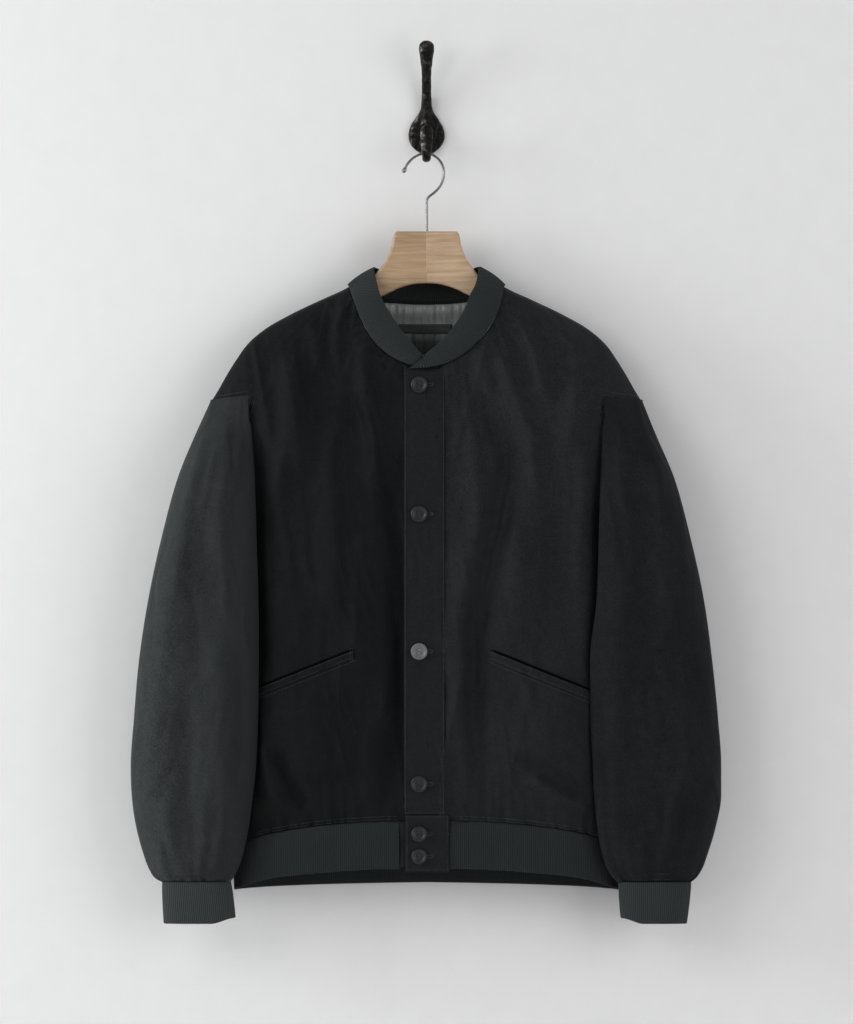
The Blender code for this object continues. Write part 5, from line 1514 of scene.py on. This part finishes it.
# %% Buttonholes and the thread on the buttons
lines, bars, bright = [], [], []
for number, ((bx, by, bz), (down, across)) in enumerate(zip(button_places, BUTTONS), 1):
    right, left = bx + across / 2 + 4.5, bx + 2
    for drop in (-1.3, 1.3):
        lines.append(on_strip(np.linspace(left, right, 40), down + drop, 2.62))
    turn = np.linspace(-math.pi / 2, math.pi / 2, 12)
    lines.append(on_strip(right + 1.3 * np.cos(turn), down + 1.3 * np.sin(turn), 2.62))
    for dz in (-HOLE_AT, HOLE_AT):
        for shift in (-0.35, 0.0, 0.35):
            bar = [(bx + dx, by - dy, bz + dz + shift)
                   for dx, dy in ((-2.2, 1.2), (-1.6, 2.3), (1.6, 2.3), (2.2, 1.2))]
            (bright if number == PAINTED_REFLECTION_BUTTON else bars).append(bar)
sew("buttonholes", lines, spacing=0.62, length=1.9, radius=0.3, turn=math.pi / 2)
sew("button_thread", bars, spacing=0.5, length=0.9, radius=0.2)
# The pale thread on the third button belongs to its painted reflection
sew("button_thread_pale", bright, PALE_THREAD, spacing=0.5, length=0.9, radius=0.2)

# %% [markdown]
# ## The hanger
# The hanger is two flat maple halves, joined in the middle, with a chrome wire hook. Each
# half is an outline given its thickness and soft rounded edges. The grain runs down each arm,
# and the right half is painted darker than the left, as painted shade: the real halves are
# angled and meet the light differently.

# %% Wood and wire
HANGER_HALF = table(
    "x down",
    (0.04, 107.8), (33, 107.8), (35, 109.5), (38.5, 124), (43.5, 137), (50, 147), (56, 154.5),
    (64, 160.8), (75, 168.6), (86, 175.2), (117, 189), (151, 205), (178, 221.5), (190, 231.5),
    (194, 239), (191, 245), (183, 247), (160, 234), (120, 212), (80, 193), (62, 184.5),
    (46, 178), (30, 170.5), (14, 166), (0.04, 165),
)  # fmt: skip
HANGER_THICK = 13.0


def maple(name, side, dark, light):
    """Wood: long wavering grain down the arm, with pores, under a thin satin finish."""
    made, tree, shader = material(name, 0.42, coat=0.15)
    spot = own_place(tree)
    turn = node(tree, "ShaderNodeMapping", Vector=spot, Rotation=(0, side * math.radians(33), 0),
                Scale=(14, 60, 190))
    grain = noise(tree, turn.outputs[0], Scale=1.0, Detail=7.0, Roughness=0.62, Distortion=0.6)
    broad = noise(tree, spot, Scale=22.0, Detail=3.0)
    mask = maths(tree, "ADD", maths(tree, "MULTIPLY_ADD", grain, 2.6, -0.65),
                 maths(tree, "MULTIPLY_ADD", broad, 0.9, -0.6))
    coloured(tree, shader, mask, dark, light)
    bump(tree, shader, grain, 0.12, 0.0005)
    return made


def rounded(rows, count=180):
    """The outline with its corners eased, as evenly spaced points."""
    line = np.stack([rows["x"], rows["down"]], axis=-1)
    run = lengths(line)
    way = dict(rows, run=run)
    at = np.linspace(0, run[-1], count)
    return follow(way, "run", "x", at), follow(way, "run", "down", at)


outline_x, outline_down = rounded(HANGER_HALF)
# The right half's darker colours are painted shade, standing in for the angle between the halves
for half, side, dark, light in (("left", 1, (0.35, 0.232, 0.138), (0.58, 0.410, 0.258)),
                                ("right", -1, (0.29, 0.185, 0.104), (0.50, 0.340, 0.198))):
    mesh = bpy.data.meshes.new(f"hanger_half_{half}_wood")
    shape = bmesh.new()
    ring = [shape.verts.new((side * x * MM, (HANG_Y - HANGER_THICK / 2) * MM, -d * MM))
            for x, d in zip(outline_x, outline_down)]
    shape.faces.new(ring)
    grown = bmesh.ops.extrude_face_region(shape, geom=shape.faces[:])["geom"]
    moved = [v for v in grown if isinstance(v, bmesh.types.BMVert)]
    bmesh.ops.translate(shape, verts=moved, vec=(0, HANGER_THICK * MM, 0))
    write_out(shape, mesh)
    mesh.materials.append(maple(f"Maple {half}", side, dark, light))
    piece = bpy.data.objects.new(f"hanger_half_{half}_wood", mesh)
    soften = piece.modifiers.new("Edges", "BEVEL")
    soften.width, soften.segments = 3.0 * MM, 5
    soften.limit_method = "WEIGHT"
    weight = mesh.attributes.new("bevel_weight_edge", "FLOAT", "EDGE")
    for edge in mesh.edges:
        a, b = (mesh.vertices[k].co / MM for k in edge.vertices)
        at_joint = abs(a.x) < 0.3 and abs(b.x) < 0.3
        weight.data[edge.index].value = 0 if at_joint or abs(a.y - b.y) > 1 else 1
    solid_of(piece)
    piece.data.shade_smooth()
    piece.data.set_sharp_from_angle(angle=math.radians(50))
    place(piece, "maple", f"hanger_half_{half}")

WIRE_RADIUS = 1.4
WIRE = table(
    "x down",
    (-26, 43), (-23.5, 38.5), (-21, 33.5), (-14, 26.5), (-6.5, 22.8), (0, 22), (6, 23.2), (12.5, 27.5),
    (17.2, 34), (19.2, 43), (17.8, 52), (13.5, 60), (8, 65.5), (2.6, 69.8), (0.4, 73.5), (0.3, 80),
    (0.3, 104), (0.3, 107.5),
)  # fmt: skip


def chrome():
    """Worn chrome: its gleam is clouded here and there."""
    made, tree, shader = material("Chrome wire", 0.22, metallic=1.0)
    cloud = noise(tree, own_place(tree), Scale=420.0, Detail=5.0)
    coloured(tree, shader, cloud, (0.10, 0.10, 0.098), (0.30, 0.30, 0.295))
    link(tree, maths(tree, "MULTIPLY_ADD", cloud, 0.25, 0.12), shader.inputs["Roughness"])
    return made


wire_x, wire_down = rounded(WIRE, 150)
curve = bpy.data.curves.new("hanger_wire_chrome", "CURVE")
curve.dimensions, curve.use_fill_caps = "3D", True
curve.bevel_depth, curve.bevel_resolution = WIRE_RADIUS * MM, 4
spline = curve.splines.new("POLY")
spline.points.add(len(wire_x) - 1)
for k, (point, x, down) in enumerate(zip(spline.points, wire_x, wire_down)):
    point.co = (x * MM, HANG_Y * MM, -down * MM, 1)
    # The wire ends in a small ball
    point.radius = 1 + 0.7 * math.sqrt(max(0, 1 - ((k - 3) / 3.4) ** 2)) if k < 7 else 1
spline.points[0].radius = 0.7
wire = bpy.data.objects.new("hanger_wire_chrome", curve)
curve.materials.append(chrome())
wire = solid_of(wire)
wire.data.shade_smooth()
place(wire, "wire", "hanger_wire")
print("hanger made")

# %% [markdown]
# ## The wall hook
# The hook is one iron casting: a teardrop plate, a handle that leans out to a knob, and a
# J-shaped prong. The three shapes are run together by a voxel remesh, which gives the soft
# joints of a casting, and a cloudy texture moves the skin in and out as a hammer would.

# %% Iron
def iron(name, dark, light):
    """Hammered iron: near black, with bright wear on its edges and in patches, and painted brighter
    towards its left side as a painted highlight where the light falls.
    """
    made, tree, shader = material(name, 0.46, metallic=0.6, specular=0.25)
    spot = own_place(tree)
    cloud = noise(tree, spot, Scale=140.0, Detail=6.0, Roughness=0.65)
    dents = node(tree, "ShaderNodeTexVoronoi", Vector=spot, Scale=210.0).outputs["Distance"]
    edges = node(tree, "ShaderNodeNewGeometry").outputs["Pointiness"]
    wear_and_painted_light = maths(tree, "MULTIPLY", maths(tree, "SUBTRACT", edges, 0.505), 14.0)
    wear_and_painted_light = maths(tree, "ADD", wear_and_painted_light, maths(tree, "MULTIPLY_ADD", cloud, 3.4, -1.85))
    wear_and_painted_light = maths(tree, "MULTIPLY", clamped(tree, wear_and_painted_light), cloud)
    # Painted highlight: the wear is painted brighter towards the left, the side that faces the light
    painted_lit_side = maths(tree, "MULTIPLY_ADD", split(tree, spot)[0], -70.0, 0.42)
    wear_and_painted_light = maths(tree, "MULTIPLY", wear_and_painted_light, clamped(tree, painted_lit_side, 0.06, 1.3))
    coloured(tree, shader, wear_and_painted_light, dark, light)
    link(tree, maths(tree, "MULTIPLY_ADD", cloud, -0.25, 0.42), shader.inputs["Roughness"])
    bump(tree, shader, maths(tree, "ADD", dents, cloud), 0.9, 0.0016)
    return made


PLATE = table(
    "down half_width",
    (-40, 5.6), (-31, 6.2), (-25, 8.2), (-18, 13), (-10, 17.8), (0, 20.3), (8, 18.8),
    (14, 15), (19, 9), (22, 4.5),
)  # fmt: skip
HANDLE = table(
    "y down half_x half_y",
    (-4, 2, 6.6, 3.6), (-5, -18, 6.8, 4.4), (-7, -34, 5.9, 4.6), (-13, -52, 5.4, 4.6),
    (-22, -70, 5.6, 4.8), (-31, -84, 7.2, 6.2), (-35, -94, 8.6, 7.4), (-36, -100, 7, 6),
    (-36, -103, 2.6, 2.2),
)  # fmt: skip
PRONG = table(
    "y down half_x half_y",
    (-3, 4, 7.2, 3.6), (-10, 13, 6.6, 3.6), (-20, 21.5, 5.4, 3.6), (-31, 27.3, 4.8, 3.4),
    (-42, 28.1, 4.6, 3.4), (-51, 21, 5.2, 3.2), (-55, 11, 6.4, 3), (-57, 0, 7, 2.8),
    (-57.5, -6, 5.6, 2.4), (-57.6, -9, 2, 1.2),
)  # fmt: skip
IRON = iron("Hammered iron", (0.006, 0.0053, 0.0048), (0.60, 0.56, 0.52))
# The screws' iron is painted near black, as painted shade in the holes they are sunk in
SCREW_IRON_PAINTED_SHADE = iron("Screw iron", (0.004, 0.0035, 0.003), (0.05, 0.045, 0.04))
SCREWS_X = (-13.8, 13.8)


def loft(shape, rings):
    """A closed bar through rings of points."""
    made = [[shape.verts.new(p * MM) for p in ring] for ring in rings]
    for upper, lower in zip(made, made[1:]):
        for k in range(len(upper)):
            n = (k + 1) % len(upper)
            shape.faces.new((upper[k], upper[n], lower[n], lower[k]))
    shape.faces.new(made[0][::-1])
    shape.faces.new(made[-1])


def bar_rings(rows):
    """Sixty oval rings along a bar, square to its way."""
    line = np.stack([rows["y"], -rows["down"]], axis=-1)
    run = lengths(line)
    way = dict(rows, run=run)
    at = np.linspace(0, run[-1], 60)
    y, z, a, b = (follow(way, "run", name, at) for name in ("y", "down", "half_x", "half_y"))
    lead = np.gradient(np.stack([y, -z], axis=-1), axis=0)
    lead /= np.linalg.norm(lead, axis=1, keepdims=True)
    turn = np.linspace(0, 2 * math.pi, 33)[:-1]
    across, deep = np.cos(turn), np.sin(turn)
    return [np.stack([a0 * across, y0 - b0 * deep * tz, -z0 + b0 * deep * ty], axis=-1)
            for y0, z0, a0, b0, (ty, tz) in zip(y, z, a, b, lead)]


mesh = bpy.data.meshes.new("wall_hook_iron")
shape = bmesh.new()
down = np.linspace(PLATE["down"][0], PLATE["down"][-1], 60)
half = follow(PLATE, "down", "half_width", down)
rim = np.concatenate([np.stack([half, -down], axis=-1), np.stack([-half, -down], axis=-1)[::-1]])
rings = []
for y, scale in ((0, 1.0), (-2.6, 0.99), (-4.4, 0.94), (-5.6, 0.87), (-6.0, 0.78)):
    upright = rim[:, 1] * (1 - (1 - scale) * 0.7)
    rings.append(np.stack([rim[:, 0] * scale, np.full(len(rim), y), upright], axis=-1))
loft(shape, rings)
for bar in (HANDLE, PRONG):
    loft(shape, bar_rings(bar))
write_out(shape, mesh)
mesh.materials.append(IRON)
hook = bpy.data.objects.new("wall_hook_iron", mesh)
cast = hook.modifiers.new("Cast", "REMESH")
cast.mode, cast.voxel_size = "VOXEL", 0.9 * MM
soft = hook.modifiers.new("Soft", "SMOOTH")
soft.factor, soft.iterations = 0.5, 4
dent = bpy.data.textures.new("hammer marks", "CLOUDS")
dent.noise_scale = 0.007
hammered = hook.modifiers.new("Hammered", "DISPLACE")
hammered.texture, hammered.strength, hammered.mid_level = dent, 0.9 * MM, 0.5
hammered.texture_coords = "LOCAL"
drills = [bored(hook, [(x, -4, 0)], 3.4, 20, 32) for x in SCREWS_X]
solid_of(hook)
for drill in drills:
    bpy.data.objects.remove(drill)
for vert in hook.data.vertices:  # the plate's back lies flat on the wall
    vert.co.y = min(vert.co.y, 0)
hook.data.shade_smooth()
hook.data.set_sharp_from_angle(angle=math.radians(50))
place(hook, "iron", "wall_hook")


def screw_head(name, x):
    """A domed head with a slot, sunk in the plate."""
    shape = bmesh.new()
    bmesh.ops.create_uvsphere(shape, u_segments=32, v_segments=16, radius=3.05 * MM)
    for vert in shape.verts:
        rise = vert.co.z
        domed = -2.0 * MM - rise * (0.62 if rise > 0 else 0.45)
        vert.co = Vector((vert.co.x + x * MM, domed, vert.co.y))
        if abs(vert.co.z) < 0.7 * MM and rise > 0.4 * MM:
            vert.co.y += 0.7 * MM
    mesh = bpy.data.meshes.new(name)
    write_out(shape, mesh)
    mesh.materials.append(SCREW_IRON_PAINTED_SHADE)
    mesh.shade_smooth()
    return put(name, mesh)


for number, x in enumerate(SCREWS_X, 1):
    place(screw_head(f"screw_{number}_head", x), "iron", f"screw_{number}")
print("wall hook:", len(hook.data.polygons), "faces")

# %% [markdown]
# ## Wall, light and camera
# The photograph shows a pale plaster wall, lit softly from the left, so the jacket throws a
# blurred shadow to the right. The camera looks straight on from 10 m away with a long lens, so
# that the hem and the collar keep their flat shape.

# %% Wall and floor
ROOM_X, WALL_Y, ROOM_Y, FLOOR_Z, ROOM_TOP = 3, 0.0012, -4.5, -1.5, 2


def plaster():
    """Plaster, which is clear from behind so that a view from there is not blocked."""
    made, tree, shader = material("Plaster", 0.9, specular=0.2)
    cloud = noise(tree, own_place(tree), Scale=35.0, Detail=6.0)
    coloured(tree, shader, cloud, (0.765, 0.76, 0.755), (0.805, 0.80, 0.793))
    bump(tree, shader, cloud, 0.05, 0.001)
    behind = node(tree, "ShaderNodeNewGeometry").outputs["Backfacing"]
    clear = node(tree, "ShaderNodeBsdfTransparent")
    either = node(tree, "ShaderNodeMixShader")
    for source, target in zip((behind, shader.outputs[0], clear.outputs[0]), either.inputs):
        link(tree, source, target)
    link(tree, either.outputs[0], tree.nodes["Material Output"].inputs["Surface"])
    return made


PLASTER = plaster()
foot = (-ROOM_X, WALL_Y, FLOOR_Z), (ROOM_X, WALL_Y, FLOOR_Z)
for name, corners in (("wall", [*foot, (ROOM_X, WALL_Y, ROOM_TOP), (-ROOM_X, WALL_Y, ROOM_TOP)]),
                      ("floor", [foot[0], (-ROOM_X, ROOM_Y, FLOOR_Z), (ROOM_X, ROOM_Y, FLOOR_Z),
                                 foot[1]])):
    mesh = bpy.data.meshes.new(name)
    mesh.from_pydata(corners, [], [(0, 1, 2, 3)])
    mesh.materials.append(PLASTER)
    put(name, mesh)

# %% Lights and camera
def lamp(name, spot, aim, power, size, colour):
    """A square area light that faces its aim."""
    light = bpy.data.lights.new(name, "AREA")
    light.energy, light.size, light.color = power, size, colour
    obj = put(name, light)
    obj.location = spot
    obj.rotation_euler = (Vector(aim) - Vector(spot)).to_track_quat("-Z", "Y").to_euler()


lamp("window", (-2.4, -2.9, 0.8), (0, 0, -0.4), 36, 2.0, (1, 0.995, 0.985))
lamp("side_window", (-2.6, -0.75, 0.0), (0, -0.08, -0.5), 44, 1.1, (0.96, 0.985, 1))
lamp("fill", (2.6, -2.6, -0.2), (0, 0, -0.5), 38, 2.4, (0.99, 0.99, 1))
world = bpy.data.worlds.new("Studio")
world.use_nodes = True
sky = world.node_tree.nodes["Background"]
sky.inputs["Color"].default_value, sky.inputs["Strength"].default_value = (0.96, 0.975, 1.0, 1), 0.385
bpy.context.scene.world = world

SENSOR, LENS = 36, 319.6  # both in millimetres
eye = bpy.data.cameras.new("camera")
eye.sensor_fit, eye.sensor_height, eye.sensor_width = "VERTICAL", SENSOR, SENSOR
eye.lens = LENS
camera = put("camera", eye)
camera.location, camera.rotation_euler = (0, -10.06, -0.417), (math.pi / 2, 0, 0)
bpy.context.scene.camera = camera
print("camera", tuple(camera.location))
